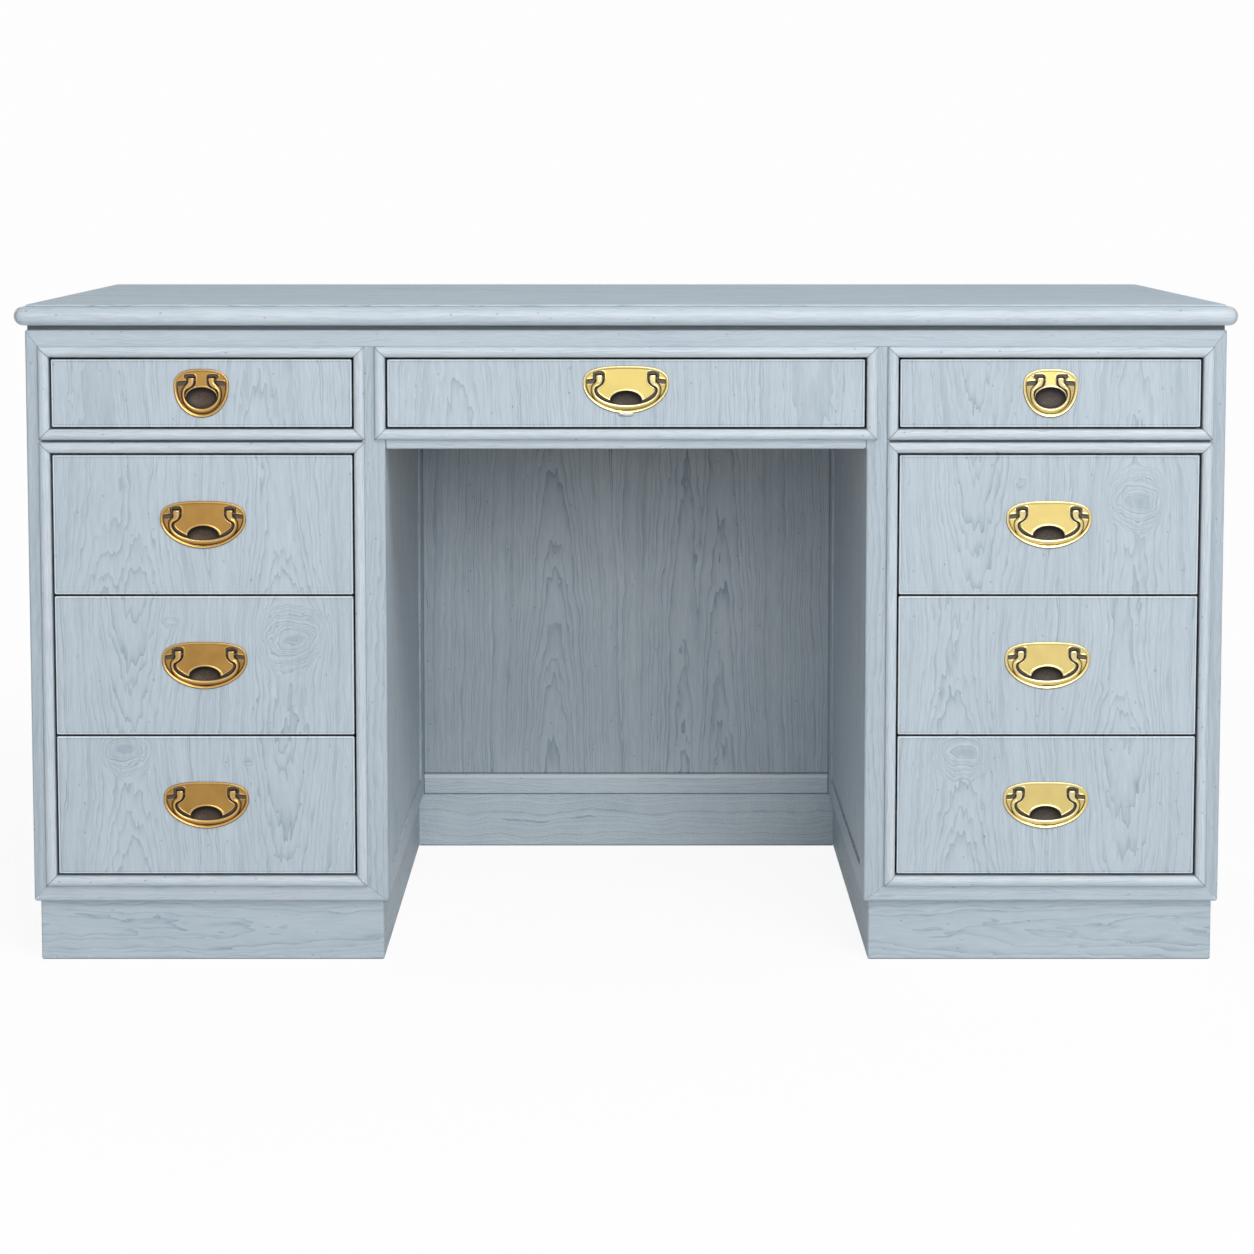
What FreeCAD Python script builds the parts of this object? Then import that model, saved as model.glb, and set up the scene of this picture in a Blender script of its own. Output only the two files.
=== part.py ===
import FreeCAD, Part
import math
import os

# Kneehole pedestal desk. Millimetres, X across, -Y towards the sitter, +Z up.
# The origin is on the floor, under the middle of the desk's bounding box.

# Driving dimensions
WIDTH = 1400.0
DEPTH = 660.0
HEIGHT = 765.0
NOSE_OUT = 13.0
NOSE_HEIGHT = 21.5
NOSE_RADIUS = NOSE_HEIGHT / 2
TOP_THICK = 24.0
TOP_ARRIS = 2.0
OVERHANG = 12.0
REVEAL = 5.0
REVEAL_BACK_SIDE = 2.0
REVEAL_BACK_FRONT = 6.0
REVEAL_STRIP = 62.0
PLINTH_HEIGHT = 71.0
PLINTH_SET_SIDE = 6.0
PLINTH_SET_FRONT = 8.0
PLINTH_SET_BACK = 6.0
PLINTH_BOARD = 18.0
PLINTH_ROUND = 2.5
CASE_ROUND = 3.0
SEAM = 0.3

# Face frame: the openings, the posts and the rails between them
FRAME_THICK = 22.0
KNEE_HALF = 276.0
BANK_IN = 312.0
BANK_OUT = 661.0
BANK_LOW = 101.5
BANK_HIGH = 594.5
ROW_LOW = 622.0
ROW_HIGH = 704.5
APRON_LOW = 599.0
APRON_ROUND = 2.0
BEAD_WIDE = 12.3
BEAD_EDGE = 2.5
BEAD_PROUD = 6.5

# Framed sides and back
OUTER_WALL = 20.0
INNER_WALL = 18.0
PANEL_THICK = 8.0
PANEL_SET = 2.5
STILE = 38.0
REAR_STILE = 56.0
LOW_RAIL_TOP = 98.5
RAIL_TOP_LOW = 690.0
BACK_RAIL_THICK = 12.0
BACK_PANEL_SET = 2.0
BOARD = 10.0

# Drawers
DRAWER_GAP = 2.4
FRONT_THICK = 19.0
FRONT_LIP = 7.0
FRONT_CORNER = 1.5
FRONT_ROUND = 1.1
FRONT_LINE_IN = 2.2
FRONT_LINE_WIDE = 0.5
FRONT_LINE_DEEP = 0.3
BOX_LENGTH = 540.0
BOX_SIDE = 12.0
BOX_BOTTOM = 6.0
BOX_BOTTOM_UP = 6.0
BOX_BACK_DROP = 6.0
BOX_FOOT = 8.0
TAIL_LENGTH = FRONT_THICK - FRONT_LIP
TAIL_SHARE = 0.62
TAIL_SLOPE = 0.14
TAIL_PITCH = 32.0
BANK_BOX_HEIGHT = 130.0
ROW_BOX_HEIGHT = 60.0
BOX_SIDE_GAP = 5.0
CENTRE_BOX_GAP = 7.0
RUNNER_HIGH = 20.0
RUNNER_IN = 6.0
RUNNER_FIT = 0.3
RUNNER_SET = 6.0
GROOVE_DEEP = RUNNER_IN + 0.5

# Recessed pulls
PLATE_PROUD = 1.6
PLATE_BODY = 8.5
PLATE_ROUND = 0.9
PLATE_RIM = 3.0
POCKET_FIT = 0.2
PIVOT_IN = 2.0
ROD_RADIUS = 2.3
CHANNEL_DEEP = 4.7
SOCKET_HALF = 6.4
SOCKET_ABOVE = 7.2
PIN_RADIUS = 1.2
PIN_FIT = 0.05
PIN_REACH = 2.0
OUTLINE_POINTS = 48
CENTRE_PULL_UP = 4.0
TAB_WIDE = 15.0
TAB_HIGH = 4.0
TAB_SHOWS = 2.3
TAB_THICK = 1.0

# Screws that hold the top down
SCREW_RADIUS = 2.0
SCREW_HEAD = 4.2
SCREW_HEAD_HIGH = 2.6
SCREW_BITE = 14.0
SCREW_FIT = 0.05

# Levels and faces worked out from the driving dimensions
SLAB_X = WIDTH / 2 - NOSE_OUT
SLAB_Y = DEPTH / 2 - NOSE_OUT
SLAB_LOW = HEIGHT - TOP_THICK
CASE_HIGH = SLAB_LOW - REVEAL
CASE_X = WIDTH / 2 - OVERHANG
CASE_FRONT = -(DEPTH / 2 - OVERHANG)
CASE_BACK = DEPTH / 2 - OVERHANG
FRAME_BACK = CASE_FRONT + FRAME_THICK
OUTER_IN = CASE_X - OUTER_WALL
INNER_OUT = KNEE_HALF + INNER_WALL
BEAD_OUT_X = BANK_OUT + BEAD_WIDE
BEAD_IN_X = BANK_IN - BEAD_WIDE
RAIL_BACK = CASE_BACK - BACK_RAIL_THICK
PLATE_FRONT = CASE_FRONT - PLATE_PROUD
PIVOT_Y = PLATE_FRONT + PIVOT_IN

V = FreeCAD.Vector
PARTS = "parts"


class Pull:
    """Sizes of one recessed pull, seen from the front, from the middle of its plate."""

    def __init__(self, half, up, down, power_up, power_down, hook_x, hook_z, side_x, bottom_z,
                 bottom_radius, side_radius, limb, shoulder_radius, neck_radius, slot_z, gap,
                 scoop_x, scoop_z, scoop_mid, scoop_deep):
        self.half = half
        self.up = up
        self.down = down
        self.power_up = power_up
        self.power_down = power_down
        self.hook_x = hook_x
        self.hook_z = hook_z
        self.side_x = side_x
        self.bottom_z = bottom_z
        self.bottom_radius = bottom_radius
        self.side_radius = side_radius
        self.limb = limb
        self.shoulder_radius = shoulder_radius
        self.neck_radius = neck_radius
        self.slot_z = slot_z
        self.gap = gap
        self.scoop_x = scoop_x
        self.scoop_z = scoop_z
        self.scoop_mid = scoop_mid
        self.scoop_deep = scoop_deep
        self.wide_z = (down - up) / 2


WIDE_PULL = Pull(half=49.4, up=21.4, down=33.6, power_up=2.5, power_down=1.88, hook_x=30.5,
                 hook_z=13.0, side_x=37.0, bottom_z=-21.2, bottom_radius=42.0, side_radius=12.0,
                 limb=0.0, shoulder_radius=4.5, neck_radius=4.5, slot_z=10.5, gap=5.2,
                 scoop_x=18.2, scoop_z=11.8, scoop_mid=-13.2, scoop_deep=8.4)
SMALL_PULL = Pull(half=31.7, up=20.2, down=35.7, power_up=2.3, power_down=2.05, hook_x=11.0,
                  hook_z=15.0, side_x=21.4, bottom_z=-20.4, bottom_radius=24.0, side_radius=15.0,
                  limb=3.9, shoulder_radius=6.5, neck_radius=4.0, slot_z=12.0, gap=3.9,
                  scoop_x=17.3, scoop_z=12.2, scoop_mid=-5.4, scoop_deep=8.4)


def box(x0, x1, y0, y1, z0, z1):
    """An upright block between two corners, which may be given in either order."""
    low = V(min(x0, x1), min(y0, y1), min(z0, z1))
    return Part.makeBox(abs(x1 - x0), abs(y1 - y0), abs(z1 - z0), low)


def mirrored(shape):
    """The same piece on the other side of the desk's middle plane."""
    return shape.mirror(V(0, 0, 0), V(1, 0, 0))


def plate(points, y0, y1):
    """A flat piece with the outline given as (x, z) points, from y0 back to y1."""
    corners = [V(x, y0, z) for x, z in points]
    corners.append(corners[0])
    return Part.Face(Part.makePolygon(corners)).extrude(V(0, y1 - y0, 0))


def frame_piece(points):
    """A face frame member with half a seam taken off all round."""
    corners = [V(x, CASE_FRONT, z) for x, z in points]
    corners.append(corners[0])
    face = Part.Face(Part.makePolygon(corners)).makeOffset2D(-SEAM / 2, 2)
    return face.extrude(V(0, FRAME_THICK, 0))


def save(node, shapes):
    """Writes one node; several solids stay separate in one file."""
    shape = shapes[0] if len(shapes) == 1 else Part.makeCompound(shapes)
    shape.exportStep(os.path.join(PARTS, node + ".step"))
    print(node, len(shape.Solids), shape.isValid(), round(shape.Volume / 1000.0, 1))


def lipping(length):
    """Half-round edge strip along X, nosing towards -Y, turned round half a corner at each end."""
    low = SLAB_LOW
    flat = NOSE_OUT - NOSE_RADIUS
    middle = low + NOSE_RADIUS
    high = low + NOSE_HEIGHT
    start = V(-length / 2, 0, 0)
    a = start + V(0, 0, low)
    b = start + V(0, -flat, low)
    tip = start + V(0, -NOSE_OUT, middle)
    c = start + V(0, -flat, high)
    d = start + V(0, 0, high)
    edges = [Part.makeLine(a, b), Part.Arc(b, tip, c).toShape(), Part.makeLine(c, d),
             Part.makeLine(d, a)]
    profile = Part.Face(Part.Wire(edges))
    straight = profile.extrude(V(length, 0, 0))
    near = profile.revolve(start, V(0, 0, 1), -45)
    far = profile.translated(V(length, 0, 0)).revolve(V(length / 2, 0, 0), V(0, 0, 1), 45)
    return straight.fuse([near, far]).removeSplitter()


def bead_strip(inner):
    """One mitred side of a raised bead, lying along X with its inner edge on z = 0."""
    half = inner / 2
    cut = SEAM / 2 * math.sqrt(2)
    ends = [V(-half - BEAD_WIDE, 0, 0), V(half + BEAD_WIDE, 0, 0)]
    a = ends[0]
    b = ends[0] + V(0, -BEAD_EDGE, 0)
    crown = ends[0] + V(0, -BEAD_PROUD, BEAD_WIDE / 2)
    c = ends[0] + V(0, -BEAD_EDGE, BEAD_WIDE)
    d = ends[0] + V(0, 0, BEAD_WIDE)
    edges = [Part.makeLine(a, b), Part.Arc(b, crown, c).toShape(), Part.makeLine(c, d),
             Part.makeLine(d, a)]
    bar = Part.Face(Part.Wire(edges)).extrude(ends[1] - ends[0])
    outline = [(-half + cut, 0), (half - cut, 0), (half + BEAD_WIDE - cut, BEAD_WIDE),
               (-half - BEAD_WIDE + cut, BEAD_WIDE)]
    return bar.common(plate(outline, -BEAD_PROUD - 1, 1))


def bead_frame(x0, x1, z0, z1):
    """Four mitred beads round an opening, on the face frame."""
    middle = V((x0 + x1) / 2, CASE_FRONT, (z0 + z1) / 2)
    sides = []
    for turn, inner, out in ((0, x1 - x0, (z1 - z0) / 2), (180, x1 - x0, (z1 - z0) / 2),
                             (90, z1 - z0, (x1 - x0) / 2), (270, z1 - z0, (x1 - x0) / 2)):
        strip = bead_strip(inner)
        strip.translate(V(0, 0, out))
        strip.rotate(V(0, 0, 0), V(0, 1, 0), turn)
        strip.translate(middle)
        sides.append(strip)
    return sides


def outline_face(pull, inset):
    """The plate's rounded half-moon: a superellipse, with its own power above and below."""
    points = []
    for k in range(OUTLINE_POINTS):
        angle = 2 * math.pi * k / OUTLINE_POINTS
        c = math.cos(angle)
        s = math.sin(angle)
        high = (pull.up if s >= 0 else pull.down) - inset
        power = 2 / (pull.power_up if s >= 0 else pull.power_down)
        x = math.copysign(abs(c) ** power, c) * (pull.half - inset)
        z = math.copysign(abs(s) ** power, s) * high
        points.append(V(x, 0, z + pull.wide_z))
    curve = Part.BSplineCurve()
    curve.interpolate(Points=points, PeriodicFlag=True)
    return Part.Face(Part.Wire([curve.toShape()]))


def arc_between(middle, radius, start, end):
    """The short arc from one point to another about a middle, all in the XZ plane."""
    bisector = (start - middle).normalize() + (end - middle).normalize()
    through = middle + bisector.normalize() * radius
    return Part.Arc(start, through, end).toShape()


def bail_marks(pull, inset):
    """Centres and tangent points of the bail's left half, moved inwards by inset."""
    bottom_mid = V(0, 0, pull.bottom_z + pull.bottom_radius)
    side_mid_x = -(pull.side_x - pull.side_radius)
    drop = math.sqrt((pull.bottom_radius - pull.side_radius) ** 2 - side_mid_x ** 2)
    side_mid = V(side_mid_x, 0, bottom_mid.z - drop)
    outward = (side_mid - bottom_mid).normalize()
    join = bottom_mid + outward * (pull.bottom_radius - inset)
    widest = V(-pull.side_x + inset, 0, side_mid.z)
    limb_top = widest + V(0, 0, pull.limb)
    return bottom_mid, side_mid, join, widest, limb_top


def bail_path(pull):
    """The bail's middle line: hook, neck, shoulder, limb, side and bottom, mirrored."""
    bottom_mid, side_mid, join, widest, limb_top = bail_marks(pull, 0.0)
    shoulder_mid = limb_top + V(pull.shoulder_radius, 0, 0)
    neck_mid_x = -pull.hook_x - pull.neck_radius
    reach = pull.shoulder_radius + pull.neck_radius
    rise = math.sqrt(reach ** 2 - (neck_mid_x - shoulder_mid.x) ** 2)
    neck_mid = V(neck_mid_x, 0, shoulder_mid.z + rise)
    meet = shoulder_mid + (neck_mid - shoulder_mid) * (pull.shoulder_radius / reach)
    neck_top = V(-pull.hook_x, 0, neck_mid.z)
    hook = V(-pull.hook_x, 0, pull.hook_z)
    left = [Part.makeLine(hook, neck_top), arc_between(neck_mid, pull.neck_radius, neck_top, meet),
            arc_between(shoulder_mid, pull.shoulder_radius, meet, limb_top)]
    if pull.limb > 0:
        left.append(Part.makeLine(limb_top, widest))
    left.append(arc_between(side_mid, pull.side_radius, widest, join))
    right = [edge.mirror(V(0, 0, 0), V(1, 0, 0)) for edge in reversed(left)]
    across = arc_between(bottom_mid, pull.bottom_radius, join, V(-join.x, 0, join.z))
    return Part.Wire(Part.__sortEdges__(left + [across] + right))


def make_bail(pull):
    """The swinging bail with a pin through each hook; its hooks' line is on y = 0."""
    path = bail_path(pull)
    hook = V(-pull.hook_x, 0, pull.hook_z)
    ring = Part.Wire([Part.makeCircle(ROD_RADIUS, hook, V(0, 0, 1))])
    rod = path.makePipeShell([ring], True, False)
    pieces = []
    for side in (-1, 1):
        end = V(side * pull.hook_x, 0, pull.hook_z)
        half = SOCKET_HALF + PIN_REACH - 0.3
        pieces.append(Part.makeSphere(ROD_RADIUS, end))
        pieces.append(Part.makeCylinder(PIN_RADIUS, 2 * half, end - V(half, 0, 0), V(1, 0, 0)))
    return rod.fuse(pieces)


def tongue_face(pull):
    """The flat field between the bail's limbs, a gap inside the bail all the way."""
    bottom_mid, side_mid, join, widest, limb_top = bail_marks(pull, pull.gap)
    inner_x = -(pull.hook_x - SOCKET_HALF)
    top_left = V(inner_x, 0, pull.hook_z + SOCKET_ABOVE + 1)
    elbow = V(inner_x, 0, limb_top.z + pull.gap - 1.5)
    side_radius = pull.side_radius - pull.gap
    edges = [Part.makeLine(top_left, elbow), Part.makeLine(elbow, limb_top)]
    if pull.limb > 0:
        edges.append(Part.makeLine(limb_top, widest))
    edges.append(arc_between(side_mid, side_radius, widest, join))
    right = [edge.mirror(V(0, 0, 0), V(1, 0, 0)) for edge in reversed(edges)]
    low_radius = pull.bottom_radius - pull.gap
    across = arc_between(bottom_mid, low_radius, join, V(-join.x, 0, join.z))
    lid = Part.makeLine(V(-inner_x, 0, top_left.z), top_left)
    return Part.Face(Part.Wire(Part.__sortEdges__(edges + [across] + right + [lid])))


def make_plate(pull):
    """The pull's cast plate with its front on y = 0: rim, field, bail channel and scoop."""
    flange = outline_face(pull, 0.0).extrude(V(0, PLATE_PROUD, 0))
    front_edges = [edge for edge in flange.Edges if edge.BoundBox.YMax < 0.01]
    flange = flange.makeFillet(PLATE_ROUND, front_edges)
    body = outline_face(pull, PLATE_RIM).extrude(V(0, PLATE_PROUD + PLATE_BODY, 0))
    solid = flange.fuse(body)
    channel = outline_face(pull, PLATE_RIM).extrude(V(0, CHANNEL_DEEP, 0))
    below = box(-pull.half, pull.half, -1, CHANNEL_DEEP + 1, -pull.half, pull.slot_z)
    channel = channel.common(below).cut(tongue_face(pull).extrude(V(0, CHANNEL_DEEP + 1, 0)))
    solid = solid.cut(channel)
    for side in (-1, 1):
        middle = side * pull.hook_x
        socket = box(middle - SOCKET_HALF, middle + SOCKET_HALF, -1, CHANNEL_DEEP,
                     pull.slot_z - 3, pull.hook_z + SOCKET_ABOVE)
        half = SOCKET_HALF + PIN_REACH
        hole = Part.makeCylinder(PIN_RADIUS + PIN_FIT, 2 * half,
                                 V(middle - half, PIVOT_IN, pull.hook_z), V(1, 0, 0))
        solid = solid.cut(socket).cut(hole)
    scale = FreeCAD.Matrix()
    scale.scale(pull.scoop_x, pull.scoop_deep, pull.scoop_z)
    bowl = Part.makeSphere(1.0).transformGeometry(scale)
    bowl.translate(V(0, 0, pull.scoop_mid))
    return solid.cut(bowl).Solids[0]


def soften_front(shape, y, radius):
    """Rounds the edges that lie in the plane y."""
    edges = [edge for edge in shape.Edges
             if abs(edge.BoundBox.YMin - y) < 0.01 and abs(edge.BoundBox.YMax - y) < 0.01]
    return shape.makeFillet(radius, edges)


def dovetails(x0, x1, z0, high):
    """The tails on a drawer side's front end, wider towards the front."""
    count = round(high / TAIL_PITCH)
    pitch = high / count
    y0 = CASE_FRONT + FRONT_THICK
    y1 = y0 - TAIL_LENGTH
    root = pitch * TAIL_SHARE / 2
    tip = root + TAIL_LENGTH * TAIL_SLOPE
    tails = []
    for k in range(count):
        z = z0 + (k + 0.5) * pitch
        corners = [V(x0, y0, z - root), V(x0, y0, z + root), V(x0, y1, z + tip), V(x0, y1, z - tip)]
        corners.append(corners[0])
        tails.append(Part.Face(Part.makePolygon(corners)).extrude(V(x1 - x0, 0, 0)))
    return tails


def make_front(x0, x1, z0, z1, pull, middle, b0, b1, tails):
    """A lipped drawer front: rounded arris, fine line, pull pocket, dovetail sockets behind."""
    back = CASE_FRONT + FRONT_THICK
    front = box(x0, x1, CASE_FRONT, back, z0, z1)
    corners = [edge for edge in front.Edges if edge.BoundBox.YLength > FRONT_THICK - 1]
    front = soften_front(front.makeFillet(FRONT_CORNER, corners), CASE_FRONT, FRONT_ROUND)
    for end, side in ((x0 - 1, b0), (x1 + 1, b1)):
        front = front.cut(box(end, side, CASE_FRONT + FRONT_LIP, back + 1, z0 - 1, z1 + 1))
    front = front.cut(tails)
    a = FRONT_LINE_IN
    b = FRONT_LINE_IN + FRONT_LINE_WIDE
    deep = CASE_FRONT + FRONT_LINE_DEEP
    line = box(x0 + a, x1 - a, CASE_FRONT - 1, deep, z0 + a, z1 - a)
    line = line.cut(box(x0 + b, x1 - b, CASE_FRONT - 2, deep + 1, z0 + b, z1 - b))
    pocket = outline_face(pull, PLATE_RIM - POCKET_FIT)
    pocket = pocket.extrude(V(0, PLATE_BODY + POCKET_FIT + 1, 0))
    pocket.translate(middle + V(0, -1, 0))
    return front.cut(line).cut(pocket)


def make_box(x0, x1, z0, high, tails):
    """The drawer's box: two grooved and dovetailed sides, a back and a bottom."""
    y0 = CASE_FRONT + FRONT_THICK
    y1 = y0 + BOX_LENGTH
    groove = z0 + high / 2 - RUNNER_HIGH / 2 - RUNNER_FIT
    groove_top = groove + RUNNER_HIGH + 2 * RUNNER_FIT
    y_groove = FRAME_BACK + RUNNER_SET - 2 * RUNNER_FIT
    left = box(x0, x0 + BOX_SIDE, y0, y1, z0, z0 + high)
    left = left.cut(box(x0 - 1, x0 + GROOVE_DEEP, y_groove, y1 + 1, groove, groove_top))
    right = box(x1 - BOX_SIDE, x1, y0, y1, z0, z0 + high)
    right = right.cut(box(x1 - GROOVE_DEEP, x1 + 1, y_groove, y1 + 1, groove, groove_top))
    left = left.fuse([tail for tail in tails if tail.BoundBox.XMax < (x0 + x1) / 2])
    right = right.fuse([tail for tail in tails if tail.BoundBox.XMax > (x0 + x1) / 2])
    bottom_z = z0 + BOX_BOTTOM_UP
    bottom = box(x0 + BOX_SIDE, x1 - BOX_SIDE, y0, y1, bottom_z, bottom_z + BOX_BOTTOM)
    back = box(x0 + BOX_SIDE, x1 - BOX_SIDE, y1 - BOX_SIDE, y1, bottom_z + BOX_BOTTOM,
               z0 + high - BOX_BACK_DROP)
    return [left, right, back, bottom]


def make_runner(x_wall, x_box, z0, high):
    """The bar fixed to a wall that a drawer side's groove rides on."""
    inwards = math.copysign(RUNNER_IN, x_box - x_wall)
    low = z0 + high / 2 - RUNNER_HIGH / 2
    return box(x_wall, x_box + inwards, FRAME_BACK + RUNNER_SET, RAIL_BACK, low, low + RUNNER_HIGH)


def make_drawer(name, x0, x1, z0, z1, pull, box_gap, box_high, pull_up):
    """One drawer between the edges of its opening; its runners are returned."""
    middle = V((x0 + x1) / 2, CASE_FRONT, (z0 + z1) / 2 + pull_up)
    b0 = x0 + box_gap
    b1 = x1 - box_gap
    foot = z0 + BOX_FOOT
    tails = dovetails(b0, b0 + BOX_SIDE, foot, box_high)
    tails += dovetails(b1 - BOX_SIDE, b1, foot, box_high)
    front = make_front(x0, x1, z0, z1, pull, middle, b0, b1, tails)
    save(name + "_drawer_front", [front])
    save(name + "_drawer_box", make_box(b0, b1, foot, box_high, tails))
    fitting = make_plate(pull)
    fitting.translate(V(middle.x, PLATE_FRONT, middle.z))
    solids = [fitting]
    if pull_up:
        bottom = middle.z + pull.wide_z - pull.down
        tab = box(-TAB_WIDE / 2, TAB_WIDE / 2, CASE_FRONT - TAB_THICK, CASE_FRONT,
                  bottom - TAB_SHOWS, bottom - TAB_SHOWS + TAB_HIGH)
        solids.append(tab.cut(fitting))
    save(name + "_pull_plate", solids)
    bail = make_bail(pull)
    bail.translate(V(middle.x, PIVOT_Y, middle.z))
    save(name + "_bail", [bail])
    return b0, b1, foot


def make_top():
    """The slab, its half-round edge, the recessed strips below it and their screws."""
    slab = box(-SLAB_X, SLAB_X, -SLAB_Y, SLAB_Y, SLAB_LOW, HEIGHT)
    top_edges = [edge for edge in slab.Edges if edge.BoundBox.ZMin > HEIGHT - 0.01]
    slab = slab.makeFillet(TOP_ARRIS, top_edges)
    nosing = []
    for turn, length, out in ((0, 2 * SLAB_X, SLAB_Y), (90, 2 * SLAB_Y, SLAB_X),
                              (180, 2 * SLAB_X, SLAB_Y), (270, 2 * SLAB_Y, SLAB_X)):
        strip = lipping(length)
        strip.translate(V(0, -out, 0))
        strip.rotate(V(0, 0, 0), V(0, 0, 1), turn)
        nosing.append(strip)
    x1 = CASE_X - REVEAL_BACK_SIDE
    y1 = CASE_BACK - REVEAL_BACK_FRONT
    side = box(x1 - REVEAL_STRIP, x1, -y1, y1, CASE_HIGH, SLAB_LOW)
    inner = x1 - REVEAL_STRIP
    front = box(-inner, inner, -y1, -y1 + REVEAL_STRIP, CASE_HIGH, SLAB_LOW)
    back = box(-inner, inner, y1 - REVEAL_STRIP, y1, CASE_HIGH, SLAB_LOW)
    strips = [side, mirrored(side), front, back]
    screws = []
    row_y = y1 - REVEAL_STRIP * 0.72
    for x in (-600.0, -200.0, 200.0, 600.0):
        for y in (-row_y, row_y):
            head = Part.makeCylinder(SCREW_HEAD, SCREW_HEAD_HIGH, V(x, y, CASE_HIGH - SCREW_HEAD_HIGH))
            shank = Part.makeCylinder(SCREW_RADIUS, REVEAL + SCREW_BITE, V(x, y, CASE_HIGH))
            screws.append(head.fuse(shank))
            hole = Part.makeCylinder(SCREW_RADIUS + SCREW_FIT, REVEAL + SCREW_BITE + SCREW_FIT,
                                     V(x, y, CASE_HIGH))
            slab = slab.cut(hole)
            strips = [strip.cut(hole) for strip in strips]
    save("desk_top", [slab])
    save("top_edge_moulding", nosing)
    save("top_reveal_frame", strips)
    save("top_fixing_screws", screws)


def make_face_frame(case, pedestal):
    """Posts, frieze, middle and bottom rails, apron, and the beads round the openings."""
    low_x = BANK_LOW - BEAD_WIDE
    high_x = ROW_HIGH + BEAD_WIDE
    outer = frame_piece([(CASE_X, PLINTH_HEIGHT), (CASE_X, CASE_HIGH), (BEAD_OUT_X, high_x),
                         (BANK_OUT, ROW_HIGH), (BANK_OUT, BANK_LOW), (BEAD_OUT_X, low_x)])
    outer = outer.common(case)
    inner = frame_piece([(KNEE_HALF, PLINTH_HEIGHT), (BEAD_IN_X, low_x), (BANK_IN, BANK_LOW),
                         (BANK_IN, high_x), (KNEE_HALF, high_x)])
    over = box(0, CASE_X, CASE_FRONT - 1, CASE_BACK, APRON_LOW, CASE_HIGH)
    inner = inner.common(pedestal.fuse(over))
    save("front_posts", [outer, mirrored(outer), inner, mirrored(inner)])
    half = [(CASE_X, CASE_HIGH), (BEAD_OUT_X, high_x), (BANK_OUT, ROW_HIGH), (BANK_IN, ROW_HIGH),
            (BANK_IN, high_x), (KNEE_HALF, high_x), (KNEE_HALF, ROW_HIGH)]
    other = [(-x, z) for x, z in reversed(half)]
    save("frieze_rail", [frame_piece(half + other).common(case)])
    low = frame_piece([(KNEE_HALF, PLINTH_HEIGHT), (CASE_X, PLINTH_HEIGHT), (BEAD_OUT_X, low_x),
                       (BANK_OUT, BANK_LOW), (BANK_IN, BANK_LOW), (BEAD_IN_X, low_x)])
    low = low.common(pedestal)
    save("bottom_rails", [low, mirrored(low)])
    middle = box(BANK_IN, BANK_OUT, CASE_FRONT, FRAME_BACK, BANK_HIGH, ROW_LOW)
    save("middle_rails", [middle, mirrored(middle)])
    apron = frame_piece([(-KNEE_HALF, APRON_LOW), (KNEE_HALF, APRON_LOW), (KNEE_HALF, ROW_LOW),
                         (-KNEE_HALF, ROW_LOW)])
    corners = [edge for edge in apron.Edges if edge.BoundBox.ZMax < APRON_LOW + 1
               and edge.BoundBox.XLength < 1]
    apron = apron.makeFillet(CASE_ROUND, corners)
    low_edges = [edge for edge in apron.Edges if edge.BoundBox.ZMax < APRON_LOW + 1
                 and edge.BoundBox.YMax < CASE_FRONT + 0.01]
    save("kneehole_apron", [apron.makeFillet(APRON_ROUND, low_edges)])
    top_row = bead_frame(-KNEE_HALF, KNEE_HALF, ROW_LOW, ROW_HIGH)
    top_row += bead_frame(BANK_IN, BANK_OUT, ROW_LOW, ROW_HIGH)
    top_row += bead_frame(-BANK_OUT, -BANK_IN, ROW_LOW, ROW_HIGH)
    save("top_row_beads", top_row)
    save("left_bank_beads", bead_frame(-BANK_OUT, -BANK_IN, BANK_LOW, BANK_HIGH))
    save("right_bank_beads", bead_frame(BANK_IN, BANK_OUT, BANK_LOW, BANK_HIGH))


def framed_side(x_face, x_back, x_panel, rear_y, trim):
    """A frame of four members with a panel set back from its outer face."""
    y0 = FRAME_BACK
    y_stile = y0 + STILE
    y_rear = rear_y - REAR_STILE
    members = [box(x_face, x_back, y0, y_stile, PLINTH_HEIGHT, CASE_HIGH),
               box(x_face, x_back, y_rear, rear_y, PLINTH_HEIGHT, CASE_HIGH),
               box(x_face, x_back, y_stile, y_rear, PLINTH_HEIGHT, LOW_RAIL_TOP),
               box(x_face, x_back, y_stile, y_rear, RAIL_TOP_LOW, CASE_HIGH)]
    members = [member.common(trim) for member in members]
    inwards = math.copysign(PANEL_THICK, x_back - x_face)
    members.append(box(x_panel, x_panel + inwards, y_stile, y_rear, LOW_RAIL_TOP, RAIL_TOP_LOW))
    return members


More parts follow.
